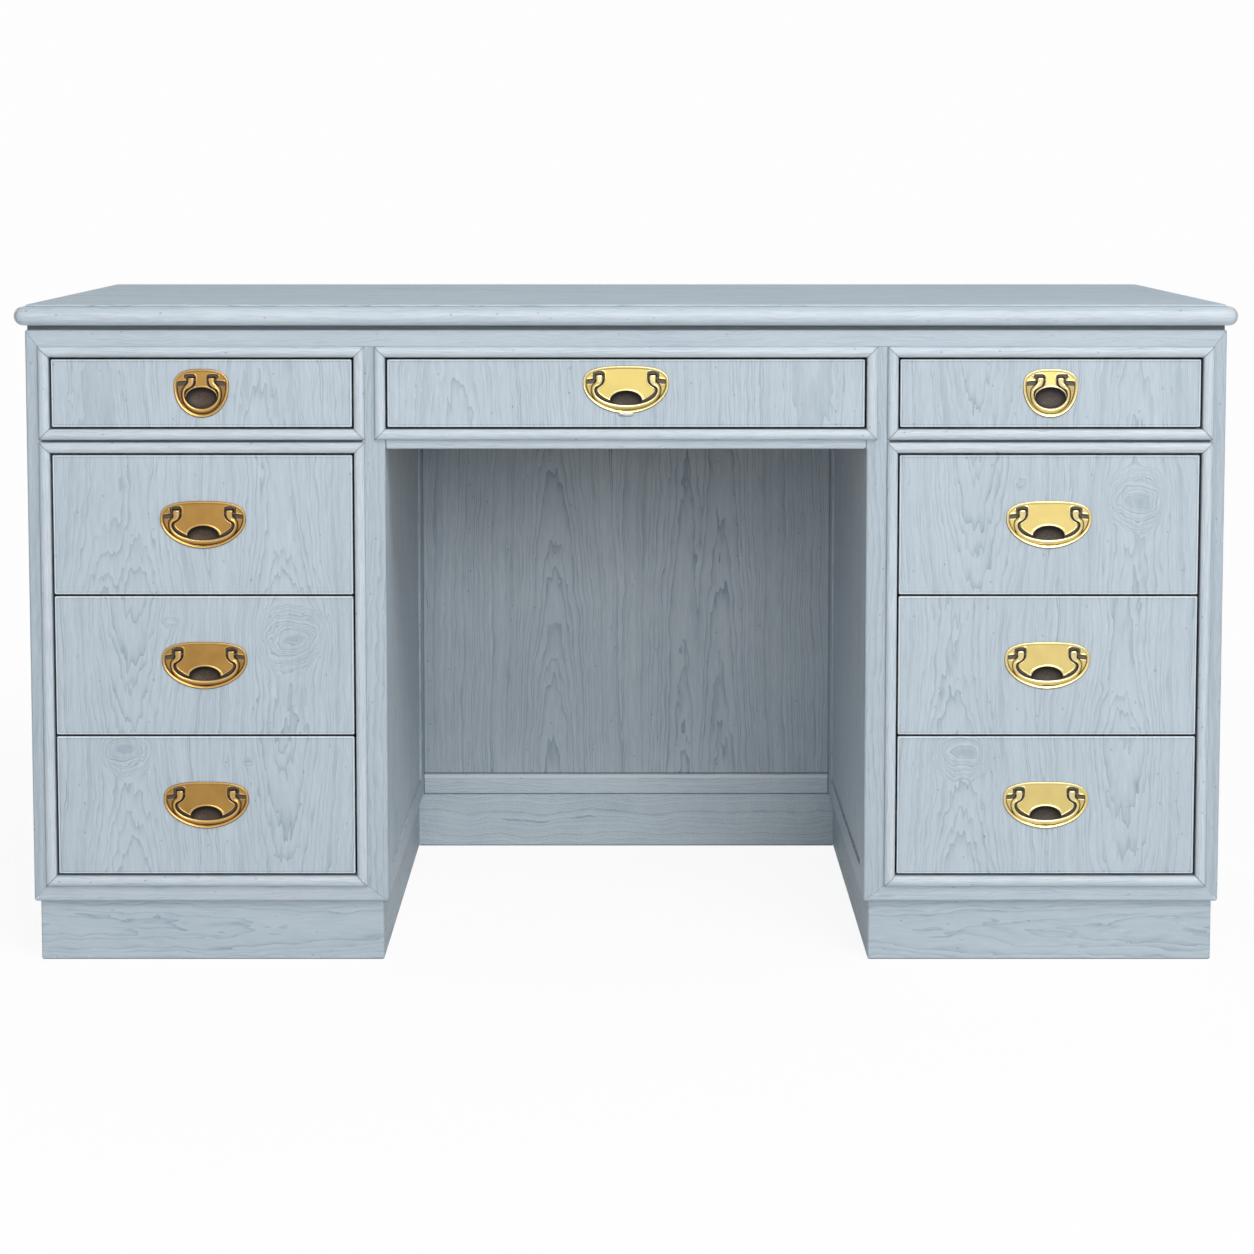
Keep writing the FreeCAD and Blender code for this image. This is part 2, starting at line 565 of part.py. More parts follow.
def make_carcass(case, pedestal):
    """Framed sides, framed backs, the kneehole's back panel and the inside boards."""
    outer = framed_side(CASE_X, OUTER_IN, CASE_X - PANEL_SET, CASE_BACK, case)
    save("right_outer_side", outer)
    save("left_outer_side", [mirrored(member) for member in outer])
    inner = framed_side(KNEE_HALF, INNER_OUT, KNEE_HALF + PANEL_SET, CASE_BACK, pedestal)
    save("right_inner_side", inner)
    save("left_inner_side", [mirrored(member) for member in inner])
    y_panel = CASE_BACK - BACK_PANEL_SET
    back = [box(INNER_OUT, OUTER_IN, RAIL_BACK, CASE_BACK, PLINTH_HEIGHT, LOW_RAIL_TOP),
            box(INNER_OUT, OUTER_IN, RAIL_BACK, CASE_BACK, RAIL_TOP_LOW, CASE_HIGH)]
    back = [rail.common(case) for rail in back]
    back.append(box(INNER_OUT, OUTER_IN, y_panel - PANEL_THICK, y_panel, LOW_RAIL_TOP,
                    RAIL_TOP_LOW))
    save("pedestal_backs", back + [mirrored(piece) for piece in back])
    rails = [box(-KNEE_HALF, KNEE_HALF, RAIL_BACK, CASE_BACK, PLINTH_HEIGHT, LOW_RAIL_TOP),
             box(-KNEE_HALF, KNEE_HALF, RAIL_BACK, CASE_BACK, RAIL_TOP_LOW, CASE_HIGH)]
    rails = [soften_front(rail, RAIL_BACK, TOP_ARRIS).common(case) for rail in rails]
    save("modesty_rails", rails)
    save("modesty_panel", [box(-KNEE_HALF, KNEE_HALF, y_panel - PANEL_THICK, y_panel,
                               LOW_RAIL_TOP, RAIL_TOP_LOW)])
    boards = []
    for z in (PLINTH_HEIGHT, ROW_LOW - 2 * BOARD):
        board = box(INNER_OUT, OUTER_IN, FRAME_BACK, RAIL_BACK, z, z + BOARD)
        boards += [board, mirrored(board)]
    boards.append(box(-KNEE_HALF, KNEE_HALF, FRAME_BACK, RAIL_BACK, ROW_LOW - 2 * BOARD,
                      ROW_LOW - BOARD))
    save("inside_boards", boards)


def plinth_board(points):
    """A plinth board of full height with the outline given in plan as (x, y) points."""
    corners = [V(x, y, 0) for x, y in points]
    corners.append(corners[0])
    return Part.Face(Part.makePolygon(corners)).extrude(V(0, 0, PLINTH_HEIGHT))


def make_plinths():
    """A mitred box of four boards under each pedestal, and a board across the kneehole."""
    x0 = KNEE_HALF + PLINTH_SET_SIDE
    x1 = CASE_X - PLINTH_SET_SIDE
    y0 = CASE_FRONT + PLINTH_SET_FRONT
    y1 = CASE_BACK - PLINTH_SET_BACK
    t = PLINTH_BOARD
    outer = [(x0, y0), (x1, y0), (x1, y1), (x0, y1)]
    inner = [(x0 + t, y0 + t), (x1 - t, y0 + t), (x1 - t, y1 - t), (x0 + t, y1 - t)]
    shell = box(x0, x1, y0, y1, 0, PLINTH_HEIGHT + 20)
    shell = shell.makeFillet(PLINTH_ROUND, [edge for edge in shell.Edges
                                            if edge.BoundBox.ZMin < PLINTH_HEIGHT])
    boards = []
    for k in range(4):
        n = (k + 1) % 4
        boards.append(plinth_board([outer[k], outer[n], inner[n], inner[k]]).common(shell))
    save("right_plinth", boards)
    save("left_plinth", [mirrored(board) for board in boards])
    save("kneehole_plinth", [box(-x0, x0, RAIL_BACK - 3, y1, 0, PLINTH_HEIGHT)])


def make_drawers():
    """Three drawers across the top and three below each end one, with their runners."""
    runners = []
    gap = DRAWER_GAP
    row = (ROW_LOW + gap, ROW_HIGH - gap)
    b0, b1, foot = make_drawer("centre", -KNEE_HALF + gap, KNEE_HALF - gap, row[0], row[1],
                               WIDE_PULL, CENTRE_BOX_GAP, ROW_BOX_HEIGHT, CENTRE_PULL_UP)
    runners.append(make_runner(KNEE_HALF, b1, foot, ROW_BOX_HEIGHT))
    runners.append(make_runner(-KNEE_HALF, b0, foot, ROW_BOX_HEIGHT))
    bank_high = (BANK_HIGH - BANK_LOW - 4 * gap) / 3
    levels = [("top", row[0], row[1], SMALL_PULL, ROW_BOX_HEIGHT)]
    for k, name in enumerate(("lower", "middle", "upper")):
        low = BANK_LOW + gap + k * (bank_high + gap)
        levels.append((name, low, low + bank_high, WIDE_PULL, BANK_BOX_HEIGHT))
    for side, x0, x1, walls in (("left", -BANK_OUT, -BANK_IN, (-OUTER_IN, -INNER_OUT)),
                                ("right", BANK_IN, BANK_OUT, (INNER_OUT, OUTER_IN))):
        for name, low, high, pull, box_high in levels:
            b0, b1, foot = make_drawer(side + "_" + name, x0 + gap, x1 - gap, low, high, pull,
                                       BOX_SIDE_GAP, box_high, 0.0)
            runners.append(make_runner(walls[0], b0, foot, box_high))
            runners.append(make_runner(walls[1], b1, foot, box_high))
    save("drawer_runners", runners)


def main():
    """Builds every node of the desk."""
    os.makedirs(PARTS, exist_ok=True)
    case = box(-CASE_X, CASE_X, CASE_FRONT, CASE_BACK, PLINTH_HEIGHT, CASE_HIGH)
    case = case.makeFillet(CASE_ROUND, case.Edges)
    pedestal = box(KNEE_HALF, CASE_X, CASE_FRONT, CASE_BACK, PLINTH_HEIGHT, CASE_HIGH)
    pedestal = pedestal.makeFillet(CASE_ROUND, pedestal.Edges)
    make_top()
    make_face_frame(case, pedestal)
    make_carcass(case, pedestal)
    make_plinths()
    make_drawers()


main()
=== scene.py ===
import logging
import math
from collections.abc import Callable
from dataclasses import dataclass, field, replace
from enum import Enum
from functools import partial
from typing import Any

import bpy
import numpy as np
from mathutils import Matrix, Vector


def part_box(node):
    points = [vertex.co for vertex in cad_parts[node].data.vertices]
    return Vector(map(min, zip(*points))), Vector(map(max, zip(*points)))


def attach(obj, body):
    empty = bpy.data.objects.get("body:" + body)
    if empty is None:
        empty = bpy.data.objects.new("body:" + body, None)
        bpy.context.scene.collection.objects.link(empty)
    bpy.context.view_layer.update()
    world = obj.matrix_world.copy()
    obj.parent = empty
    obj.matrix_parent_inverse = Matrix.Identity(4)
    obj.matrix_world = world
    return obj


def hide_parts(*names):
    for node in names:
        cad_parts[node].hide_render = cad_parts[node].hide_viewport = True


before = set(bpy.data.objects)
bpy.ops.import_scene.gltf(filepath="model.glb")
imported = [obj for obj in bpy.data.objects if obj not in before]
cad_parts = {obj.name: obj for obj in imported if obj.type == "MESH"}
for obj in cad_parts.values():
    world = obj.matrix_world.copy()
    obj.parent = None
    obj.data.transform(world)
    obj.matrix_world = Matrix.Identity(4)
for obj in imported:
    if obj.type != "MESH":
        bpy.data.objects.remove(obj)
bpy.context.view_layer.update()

Array = np.ndarray
Material = bpy.types.Material
Socket = bpy.types.NodeSocket
Adder = Callable[..., bpy.types.bpy_prop_collection]

LOG = logging.getLogger("desk")
MM = 0.001
QUARTER = math.pi / 2


def linear(colour: str) -> tuple[float, ...]:
    """Turns an sRGB hex colour into linear RGBA.

    Args:
        colour: A colour such as "#bbc7d0".

    Returns:
        The linear red, green and blue, and an alpha of 1.
    """
    srgb = np.array([int(colour[k:k + 2], 16) for k in (1, 3, 5)]) / 255.0
    curved = np.where(srgb <= 0.04045, srgb / 12.92, ((srgb + 0.055) / 1.055) ** 2.4)
    return (*map(float, curved), 1.0)


def add_node(tree: bpy.types.NodeTree, kind: str, inputs: tuple[Any, ...] | dict[int | str, Any] = (),
             **settings: Any) -> bpy.types.bpy_prop_collection:
    """Adds a node with its settings, and fills or links its inputs.

    Args:
        tree: The node tree.
        kind: The node's type name without ShaderNode, with any operation after a colon.
        inputs: A socket to link, or a constant, for the first inputs, or by name or number.
        **settings: Properties of the node itself.

    Returns:
        The node's outputs.
    """
    kind, _, operation = kind.partition(":")
    node = tree.nodes.new("ShaderNode" + kind)
    if operation:
        node.operation = operation
    for key, value in settings.items():
        setattr(node, key, value)
    for key, value in inputs.items() if isinstance(inputs, dict) else enumerate(inputs):
        if isinstance(value, Socket):
            tree.links.new(value, node.inputs[key])
        else:
            node.inputs[key].default_value = value
    return node.outputs


def blank_material(name: str) -> tuple[Material, Adder]:
    """Makes a material with an empty node tree.

    Args:
        name: The material's name.

    Returns:
        The material, and add_node for its tree.
    """
    material = bpy.data.materials.new(name)
    material.use_nodes = True
    material.node_tree.nodes.clear()
    return material, partial(add_node, material.node_tree)


def folded(add: Adder, operation: str, sockets: list[Socket], *more: float) -> Socket:
    """Combines sockets one after the other.

    Args:
        add: Adds a node.
        operation: The maths operation.
        sockets: What to combine.
        *more: The operation's further inputs.

    Returns:
        What they come to.
    """
    total = sockets[0]
    for socket in sockets[1:]:
        total = add("Math:" + operation, (total, socket, *more))[0]
    return total


def layered(add: Adder, base: Socket | tuple[float, ...],
            films: list[tuple[Socket, str]]) -> Socket:
    """Lays films of colour over a base, one after the other.

    Args:
        add: Adds a node.
        base: The colour underneath.
        films: Each film's share and sRGB colour.

    Returns:
        The colour that shows.
    """
    for share, colour in films:
        base = add("Mix", {0: share, 6: base, 7: linear(colour)}, data_type="RGBA")[2]
    return base


def smooth_step(value: Array, low: float, high: float) -> Array:
    """Rises from 0 at low to 1 at high as 3t^2 - 2t^3, for whole arrays.

    Args:
        value: The values.
        low: Where the rise starts.
        high: Where it ends.

    Returns:
        The step at each value.
    """
    t = np.clip((value - low) / (high - low), 0.0, 1.0)
    return t * t * (3.0 - 2.0 * t)


def lengths_along(points: Array) -> Array:
    """How far along a run each of its points is, in its first two columns."""
    return np.concatenate([[0.0], np.cumsum(np.hypot(*np.diff(points[:, :2], axis=0).T))])


def cut_corners(points: Array, times: int, closed: bool) -> Array:
    """Rounds a run of points: each pass puts two points at a quarter of each side.

    Args:
        points: The corners, one row each.
        times: How many passes.
        closed: Whether the last corner joins the first.

    Returns:
        The rounded run.
    """
    for _ in range(times):
        following = np.roll(points, -1, axis=0)
        rounded = np.stack([0.75 * points + 0.25 * following, 0.25 * points + 0.75 * following], axis=1)
        if closed:
            points = rounded.reshape(-1, points.shape[1])
        else:
            inside = rounded[:-1].reshape(-1, points.shape[1])
            points = np.vstack([points[:1], inside[1:-1], points[-1:]])
    return points


def evenly(points: Array, count: int) -> Array:
    """Resamples a run so that its points are the same distance apart along it.

    Args:
        points: The run; its first two columns are x and z.
        count: How many points to return.

    Returns:
        The resampled run, with all columns interpolated.
    """
    length = lengths_along(points)
    wanted = np.linspace(0.0, length[-1], count)
    return np.stack([np.interp(wanted, length, column) for column in points.T], axis=1)


def distance_to_run(x: Array, z: Array, run: Array, batch: int = 8192) -> Array:
    """Distance from points to a run of straight sides: the least over all the sides.

    Args:
        x: The points' first coordinate.
        z: The points' second coordinate, of the same shape.
        run: The run's corners, (n, 2).
        batch: How many points are worked out at once.

    Returns:
        The distances, of the shape of x.
    """
    flat = np.stack([x.ravel(), z.ravel()], axis=1)
    start = run[:-1]
    side = run[1:] - start
    square = np.maximum((side ** 2).sum(axis=1), 1e-12)
    least = np.full(len(flat), np.inf)
    for first in range(0, len(flat), batch):
        part = flat[first:first + batch, None, :] - start[None]
        along = np.clip((part * side[None]).sum(axis=2) / square, 0.0, 1.0)
        gap = part - along[..., None] * side[None]
        least[first:first + batch] = np.sqrt((gap ** 2).sum(axis=2).min(axis=1))
    return least.reshape(x.shape)


def inside_loop(x: Array, z: Array, loop: Array) -> Array:
    """Whether points lie inside a closed loop: a level ray crosses it an odd number of times.

    Args:
        x: The points' first coordinate.
        z: The points' second coordinate.
        loop: The loop's corners, (n, 2), first not repeated.

    Returns:
        True where a point is inside.
    """
    count = np.zeros(x.shape, int)
    for (x0, z0), (x1, z1) in zip(loop, np.roll(loop, -1, axis=0)):
        if z0 != z1:
            count += ((z0 > z) != (z1 > z)) & (x < (x1 - x0) * (z - z0) / (z1 - z0) + x0)
    return count % 2 == 1


def signed_distance(x: Array, z: Array, loop: Array) -> Array:
    """Distance to a closed loop, positive inside it.

    Args:
        x: The points' first coordinate.
        z: The points' second coordinate.
        loop: The loop's corners, (n, 2), first not repeated.

    Returns:
        The signed distances.
    """
    away = distance_to_run(x, z, np.vstack([loop, loop[:1]]))
    return np.where(inside_loop(x, z, loop), away, -away)


@dataclass
class Shell:
    """A closed surface: points in millimetres, four- and three-cornered faces, and layers."""

    points: Array
    quads: Array
    tris: Array
    layers: dict[str, Array] = field(default_factory=dict)

    def outward(self) -> "Shell":
        """Turns the faces outwards: the sum of the signed volumes under them is positive.

        Returns:
            The shell itself.
        """
        halves = [self.quads[:, [0, 1, 2]], self.quads[:, [0, 2, 3]], self.tris]
        faces = np.vstack([half for half in halves if len(half)])
        a, b, c = (self.points[faces[:, k]] for k in range(3))
        if np.einsum("ij,ij->i", a, np.cross(b, c)).sum() < 0:
            self.quads = self.quads[:, ::-1]
            self.tris = self.tris[:, ::-1]
        return self

    def moved(self, x: float, y: float, z: float) -> "Shell":
        """A copy of the shell moved by x, y and z."""
        return replace(self, points=self.points + np.array([x, y, z]))


def rings_to_shell(rings: Array, layers: dict[str, Array]) -> Shell:
    """Closes a stack of rings: quads between neighbours, and a fan to the middle at each end.

    Args:
        rings: The points, (rings, steps, 3); each ring closes on itself.
        layers: Values for each ring point, (rings, steps) or (rings, steps, 3).

    Returns:
        The closed shell, faces outwards.
    """
    count, steps = rings.shape[:2]
    row = np.arange(count - 1)[:, None] * steps
    here = np.arange(steps)
    there = (here + 1) % steps
    quads = np.stack([row + here, row + there, row + steps + there, row + steps + here],
                     axis=-1).reshape(-1, 4)
    first, base = count * steps, (count - 1) * steps
    near = np.stack([np.full(steps, first), there, here], axis=1)
    far = np.stack([np.full(steps, first + 1), base + here, base + there], axis=1)
    filled = {}
    for name, values in {"points": rings, **layers}.items():
        ends = [values[end].reshape(steps, -1).mean(axis=0) for end in (0, -1)]
        filled[name] = np.vstack([values.reshape(count * steps, -1), *ends])
    return Shell(filled.pop("points"), quads, np.vstack([near, far]), filled).outward()


def joined(shells: list[Shell]) -> Shell:
    """Puts several shells into one, each still closed on its own.

    Args:
        shells: The shells, all with the same layers.

    Returns:
        One shell that holds them all.
    """
    starts = np.cumsum([0] + [len(shell.points) for shell in shells[:-1]])
    quads = np.vstack([shell.quads + start for shell, start in zip(shells, starts)])
    tris = np.vstack([shell.tris + start for shell, start in zip(shells, starts)])
    layers = {name: np.vstack([shell.layers[name] for shell in shells])
              for name in shells[0].layers}
    return Shell(np.vstack([shell.points for shell in shells]), quads, tris, layers)


def piece_from(shell: Shell, name: str, material: Material, sharp: float = 50.0) -> bpy.types.Object:
    """Makes a Blender object from a shell, at the origin, in metres.

    Args:
        shell: The surface.
        name: The piece's name.
        material: Its material.
        sharp: Edges turned by more than this many degrees stay crisp.

    Returns:
        The object, linked to the scene.
    """
    mesh = bpy.data.meshes.new(name)
    corners = np.concatenate([shell.quads.ravel(), shell.tris.ravel()]).astype(np.int32)
    sizes = np.concatenate([np.full(len(shell.quads), 4), np.full(len(shell.tris), 3)])
    mesh.vertices.add(len(shell.points))
    mesh.vertices.foreach_set("co", (shell.points * MM).astype(np.float32).ravel())
    mesh.loops.add(len(corners))
    mesh.loops.foreach_set("vertex_index", corners)
    mesh.polygons.add(len(sizes))
    mesh.polygons.foreach_set("loop_start", (np.cumsum(sizes) - sizes).astype(np.int32))
    mesh.polygons.foreach_set("use_smooth", np.ones(len(sizes), bool))
    for layer, values in shell.layers.items():
        kind, key = ("FLOAT_VECTOR", "vector") if values.shape[1] == 3 else ("FLOAT", "value")
        attribute = mesh.attributes.new(layer, kind, "POINT")
        attribute.data.foreach_set(key, values.astype(np.float32).ravel())
    mesh.update(calc_edges=True)
    mesh.set_sharp_from_angle(angle=math.radians(sharp))
    mesh.materials.append(material)
    piece = bpy.data.objects.new(name, mesh)
    bpy.context.scene.collection.objects.link(piece)
    return piece


def place(piece: bpy.types.Object, body: str, slot: str, *nodes: str) -> None:
    """Puts a finished piece on its body, and in the place of CAD nodes.

    Args:
        piece: The piece.
        body: The body that it rides on.
        slot: The record's material slot; not used.
        *nodes: The nodes that it stands for.
    """
    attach(piece, body)
    if nodes:
        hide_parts(*nodes)
    LOG.info("built %s on %s: %d faces", piece.name, body, len(piece.data.polygons))


class Grain(Enum):
    """Which way a board's grain runs and its face looks, as a turn of the pattern's space.

    The pattern's own X runs across the grain, its Y into the board, its Z along the grain.
    """

    UP_FACING_FRONT = (0.0, 0.0, 0.0)
    ACROSS_FACING_FRONT = (0.0, QUARTER, 0.0)
    ACROSS_FACING_UP = (0.0, QUARTER, QUARTER)
    UP_FACING_SIDE = (0.0, 0.0, QUARTER)
    BACK_FACING_SIDE = (QUARTER, 0.0, QUARTER)
    BACK_FACING_UP = (QUARTER, 0.0, 0.0)


class Streak(Enum):
    """Noise drawn out along the grain: millimetres across and along, and how many octaves."""

    WANDER = (80.0, 190.0, 1.5)
    SHIVER = (17.0, 38.0, 1.5)
    FINE = (2.3, 26.0, 2.0)
    PORE = (1.2, 16.0, 1.0)
    CLOUD = (46.0, 240.0, 2.0)
    ZIGZAG = (6.5, 34.0, 1.0)
    FADE = (24.0, 70.0, 1.0)


class Axis(Enum):
    """An axis of the desk, as the number of its component."""

    X = 0
    Y = 1
    Z = 2


@dataclass(frozen=True)
class Band:
    """A slice of the desk in millimetres, or all that lies beyond it, or where two slices cross.

    On the X axis it is measured both ways from the desk's middle. The weight, up to 1, is how far
    it is darkened, by painted shade and along dark joints; below 0, down to -1, it lightens the
    slice as a painted highlight.
    """

    axis: Axis
    low: float
    high: float
    weight: float = 0.0
    within: bool = True
    crossed: "Band | None" = None


@dataclass(frozen=True)
class Heart:
    """A column of arches: where it runs down the board, and how deep the tree's heart lies there.

    The depth at a height is deep + lean * up + bend * up^2, with up measured from along. Arches
    point up where the depth grows with the height, and down where it shrinks.
    """

    across: float
    along: float
    deep: float
    lean: float = 0.06
    bend: float = 0.0


@dataclass(frozen=True)
class Knot:
    """A knot: rings close round it out to a radius. Across and along are from the desk's middle."""

    across: float
    along: float
    radius: float


class Finish:
    """A finish: one material, and the CAD nodes that it dresses."""

    def material(self) -> Material:
        """Builds the material; each finish has its own way."""
        raise NotImplementedError

    def dress(self, *nodes: str) -> None:
        """Gives carried-over CAD nodes the material.

        Args:
            *nodes: The nodes' names.
        """
        material = self.material()
        for node in nodes:
            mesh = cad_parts[node].data
            mesh.materials.clear()
            mesh.materials.append(material)
            LOG.info("dressed %s with %s", node, material.name)


@dataclass(frozen=True)
class LimedOak(Finish):
    """Oak stained blue-grey and limed: thin darker late-wood lines under a pale, chalky film.

    The growth rings are cylinders about leaning hearts, so a board shows columns of arches where
    a heart lies near its face, and straight close lines between them. Grain in the cross slices
    runs its own way, as on the rails of a frame, and so can the grain of level faces.
    """

    name: str
    grain: Grain = Grain.UP_FACING_FRONT
    light: str = "#c3ced6"
    dark: str = "#a5b3be"
    hearts: tuple[Heart, ...] = (Heart(0.0, 0.0, 400.0, 0.01),)
    knots: tuple[Knot, ...] = ()
    ring_mm: float = 3.3
    ring_weight: float = 0.85
    zigzag: float = 1.5
    seed: float = 0.0
    panel: tuple[float, float, float, float] | None = None
    cross: tuple[Band, ...] = ()
    cross_grain: Grain = Grain.ACROSS_FACING_FRONT
    level_grain: Grain | None = None
    # Bands of painted shade and dark joints, and of painted highlights, with their two colours.
    painted_light_and_joints: tuple[Band, ...] = ()
    joint_and_shade_colour: str = "#20262b"
    polish_and_highlight: str = "#e4ebf1"
    from_layer: bool = False
    roughness: float = 0.56
    gloss: float = 0.3
    knot_ring_mm: float = 2.9
    lump_mm: float = 17.0
    # The arris is painted paler, partly worn film and partly painted highlight; the fine line inside it
    # is painted shade.
    arris_mm: tuple[float, float] = (1.4, 2.1)
    arris_wear_and_highlight: float = -1.1
    line_mm: float = 2.45
    line_half_mm: tuple[float, float] = (0.2, 0.55)
    groove_shade_weight: float = 0.6
    fleck_cell_mm: tuple[float, float] = (28.0, 40.0)

    def material(self) -> Material:
        """Builds the material's nodes, in the board's own space."""
        return OakNodes(self).build()


@dataclass(frozen=True)
class SawnOak(Finish):
    """Bare oak inside the desk, planed and left unfinished: warm, dry, with open dark pores."""

    name: str
    light: str
    dark: str
    grain: Grain
    seed: float = 0.0
    cross: tuple[Band, ...] = ()
    level_grain: Grain | None = None

    def material(self) -> Material:
        """Builds the limed oak's nodes in the bare wood's colours, without its film's sheen."""
        return LimedOak(self.name, self.grain, self.light, self.dark, (Heart(90.0, 0.0, 120.0, 0.04),),
                        ring_weight=0.9, seed=self.seed, cross=self.cross,
                        level_grain=self.level_grain, roughness=0.72).material()


class OakNodes:
    """The nodes of an oak finish, in the board's own space in millimetres."""

    def __init__(self, oak: LimedOak) -> None:
        """Starts the material and lays out the board's space.

        Args:
            oak: The finish.
        """
        self.oak = oak
        self.finished, self.add = blank_material(oak.name)
        self.spot = self.add("TexCoord")["Object"]
        self.space = self._led_round_knots(self._wavering(self._turned()))

    def build(self) -> Material:
        """Adds up the pattern's layers, and dresses the shader with them.

        Returns:
            The material.
        """
        add, oak = self.add, self.oak
        fine = self._streaks(Streak.FINE)
        layers = ((self._rings(), oak.ring_weight), (self._streaks(Streak.PORE), 0.5),
                  (self._streaks(Streak.CLOUD), 0.5), (fine, 0.7), (self._flecks(), 0.9))
        total = -0.5
        for layer, weight in layers:
            total = add("Math:MULTIPLY_ADD", (layer, weight, total))[0]
        if oak.panel:
            total = self._edged(total)
        shade = add("Mix", {0: total, 6: linear(oak.light), 7: linear(oak.dark)}, data_type="RGBA",
                    clamp_factor=False)[2]
        # Painted shade, dark joints and painted highlights laid over the wood's colour.
        slices = [(self._within(band), band.weight) for band in oak.painted_light_and_joints]
        if oak.from_layer:
            slices.append((add("Attribute", attribute_name="seam_and_shade")["Fac"], 0.5))
        shade = layered(add, shade, [
            (add("Math:MULTIPLY", (share, abs(weight)))[0],
             oak.joint_and_shade_colour if weight > 0.0 else oak.polish_and_highlight) for share, weight in slices])
        rough = add("MapRange", (fine, 0.0, 1.0, oak.roughness - 0.06, oak.roughness + 0.08))[0]
        relief = add("Math:MULTIPLY", (total, -1.0))[0]
        bump = add("Bump", {"Height": relief, "Strength": 0.35, "Distance": 0.12 * MM})[0]
        shader = add("BsdfPrincipled", {"Base Color": shade, "Roughness": rough, "Normal": bump,
                                        "IOR": 1.45, "Specular IOR Level": oak.gloss})[0]
        add("OutputMaterial", {"Surface": shader})
        return self.finished

    def _turned(self) -> Socket:
        """Turns the place so that X runs across the grain and Z along it.

        Each further grain is moved too, so that boards that meet don't share their pattern.

        Returns:
            The place on the board, in millimetres.
        """
        add, oak = self.add, self.oak
        source = add("Attribute", attribute_name="grain")["Vector"] if oak.from_layer else self.spot
        turns = [(None, oak.grain, (0.0, 0.0, 0.0))]
        if oak.level_grain:
            slope = add("SeparateXYZ", (add("TexCoord")["Normal"],))[2]
            slope = add("Math:ABSOLUTE", (slope,))[0]
            level = add("Math:GREATER_THAN", (slope, 0.7))[0]
            turns.append((level, oak.level_grain, (12.0, 200.0, 34.0)))
        if oak.cross:
            share = folded(add, "MULTIPLY", [self._within(band) for band in oak.cross])
            turns.append((share, oak.cross_grain, (31.0, 400.0, 57.0)))
        space = None
        for share, grain, (x, y, z) in turns:
            turned = add("Mapping", {"Vector": source, "Scale": (1.0 / MM,) * 3,
                                     "Location": (x, oak.seed * 137.0 + y, z),
                                     "Rotation": grain.value})[0]
            space = turned if share is None else add("Mix", {0: share, 4: space, 5: turned},
                                                     data_type="VECTOR")[1]
        return space

    def _within(self, band: Band) -> Socket:
        """Tells a slice of the desk from the rest.

        Args:
            band: The slice.

        Returns:
            1 in the slice and 0 elsewhere, or the other way round.
        """
        add = self.add
        part = add("SeparateXYZ", (self.spot,))[band.axis.value]
        if band.axis is Axis.X:
            part = add("Math:ABSOLUTE", (part,))[0]
        middle, half = (band.low + band.high) / 2 * MM, (band.high - band.low) / 2 * MM
        share = add("Math:COMPARE", (part, middle, half))[0]
        if band.crossed:
            share = folded(add, "MULTIPLY", [share, self._within(band.crossed)])
        return share if band.within else add("Math:SUBTRACT", (1.0, share))[0]

    def _noise(self, space: Socket, streak: Streak) -> bpy.types.bpy_prop_collection:
        """Draws noise out along the grain.

        Args:
            space: The board's space.
            streak: How far it is drawn out.

        Returns:
            The noise as a value and as a colour, each about 0 to 1.
        """
        across, along, octaves = streak.value
        drawn = self.add("VectorMath:MULTIPLY", (space, (1.0 / across, 1.0 / across, 1.0 / along)))[0]
        return self.add("TexNoise", {"Vector": drawn, "Scale": 1.0, "Detail": octaves})

    def _streaks(self, streak: Streak) -> Socket:
        """The noise's value, in the finished space."""
        return self._noise(self.space, streak)[0]

    def _wavering(self, space: Socket) -> Socket:
        """Bends the grain: a slow wander of some millimetres and a tighter shiver.

        Args:
            space: The board's space.

        Returns:
            The space with its grain bent.
        """
        add = self.add
        for streak, swing in ((Streak.WANDER, 22.0), (Streak.SHIVER, 4.2)):
            colour = self._noise(space, streak)[1]
            centred = add("VectorMath:SUBTRACT", (colour, (0.5, 0.5, 0.5)))[0]
            space = add("VectorMath:MULTIPLY_ADD", (centred, (swing, 0.0, swing), space))[0]
        return space

    def _led_round_knots(self, space: Socket) -> Socket:
        """Leads the grain round each knot, so that lines that come down on it part and pass it.

        X moves towards the knot by 0.75 exp(-(r / R)^2) of its distance.

        Args:
            space: The board's space.

        Returns:
            The space with its grain led round the knots.
        """
        add = self.add
        for knot in self.oak.knots:
            away, reach = self._from_knot(space, knot)
            square = add("Math:POWER", (reach, 2.0))[0]
            square = add("Math:MULTIPLY", (square, -knot.radius ** -2.0))[0]
            near = add("Math:EXPONENT", (square,))[0]
            moved = add("VectorMath:SCALE", {0: away, "Scale": near})[0]
            space = add("VectorMath:MULTIPLY_ADD", (moved, (-0.75, 0.0, 0.0), space))[0]
        return space

    def _from_knot(self, space: Socket, knot: Knot) -> tuple[Socket, Socket]:
        """Measures from a knot's middle.

        Args:
            space: The board's space.
            knot: The knot.

        Returns:
            The way from the middle, and its length with heights counted for four fifths.
        """
        away = self.add("VectorMath:SUBTRACT", (space, (knot.across, 0.0, knot.along)))[0]
        flat = self.add("VectorMath:MULTIPLY", (away, (1.0, 0.0, 0.8)))[0]
        return away, self.add("VectorMath:LENGTH", (flat,))[1]

    def _number_at(self, knot: Knot) -> float:
        """How many rings lie between a knot's middle and the nearest heart."""
        ups = [(heart, knot.along - heart.along) for heart in self.oak.hearts]
        return min(math.hypot(knot.across - heart.across,
                              heart.deep + up * (heart.lean + up * heart.bend))
                   for heart, up in ups) / self.oak.ring_mm

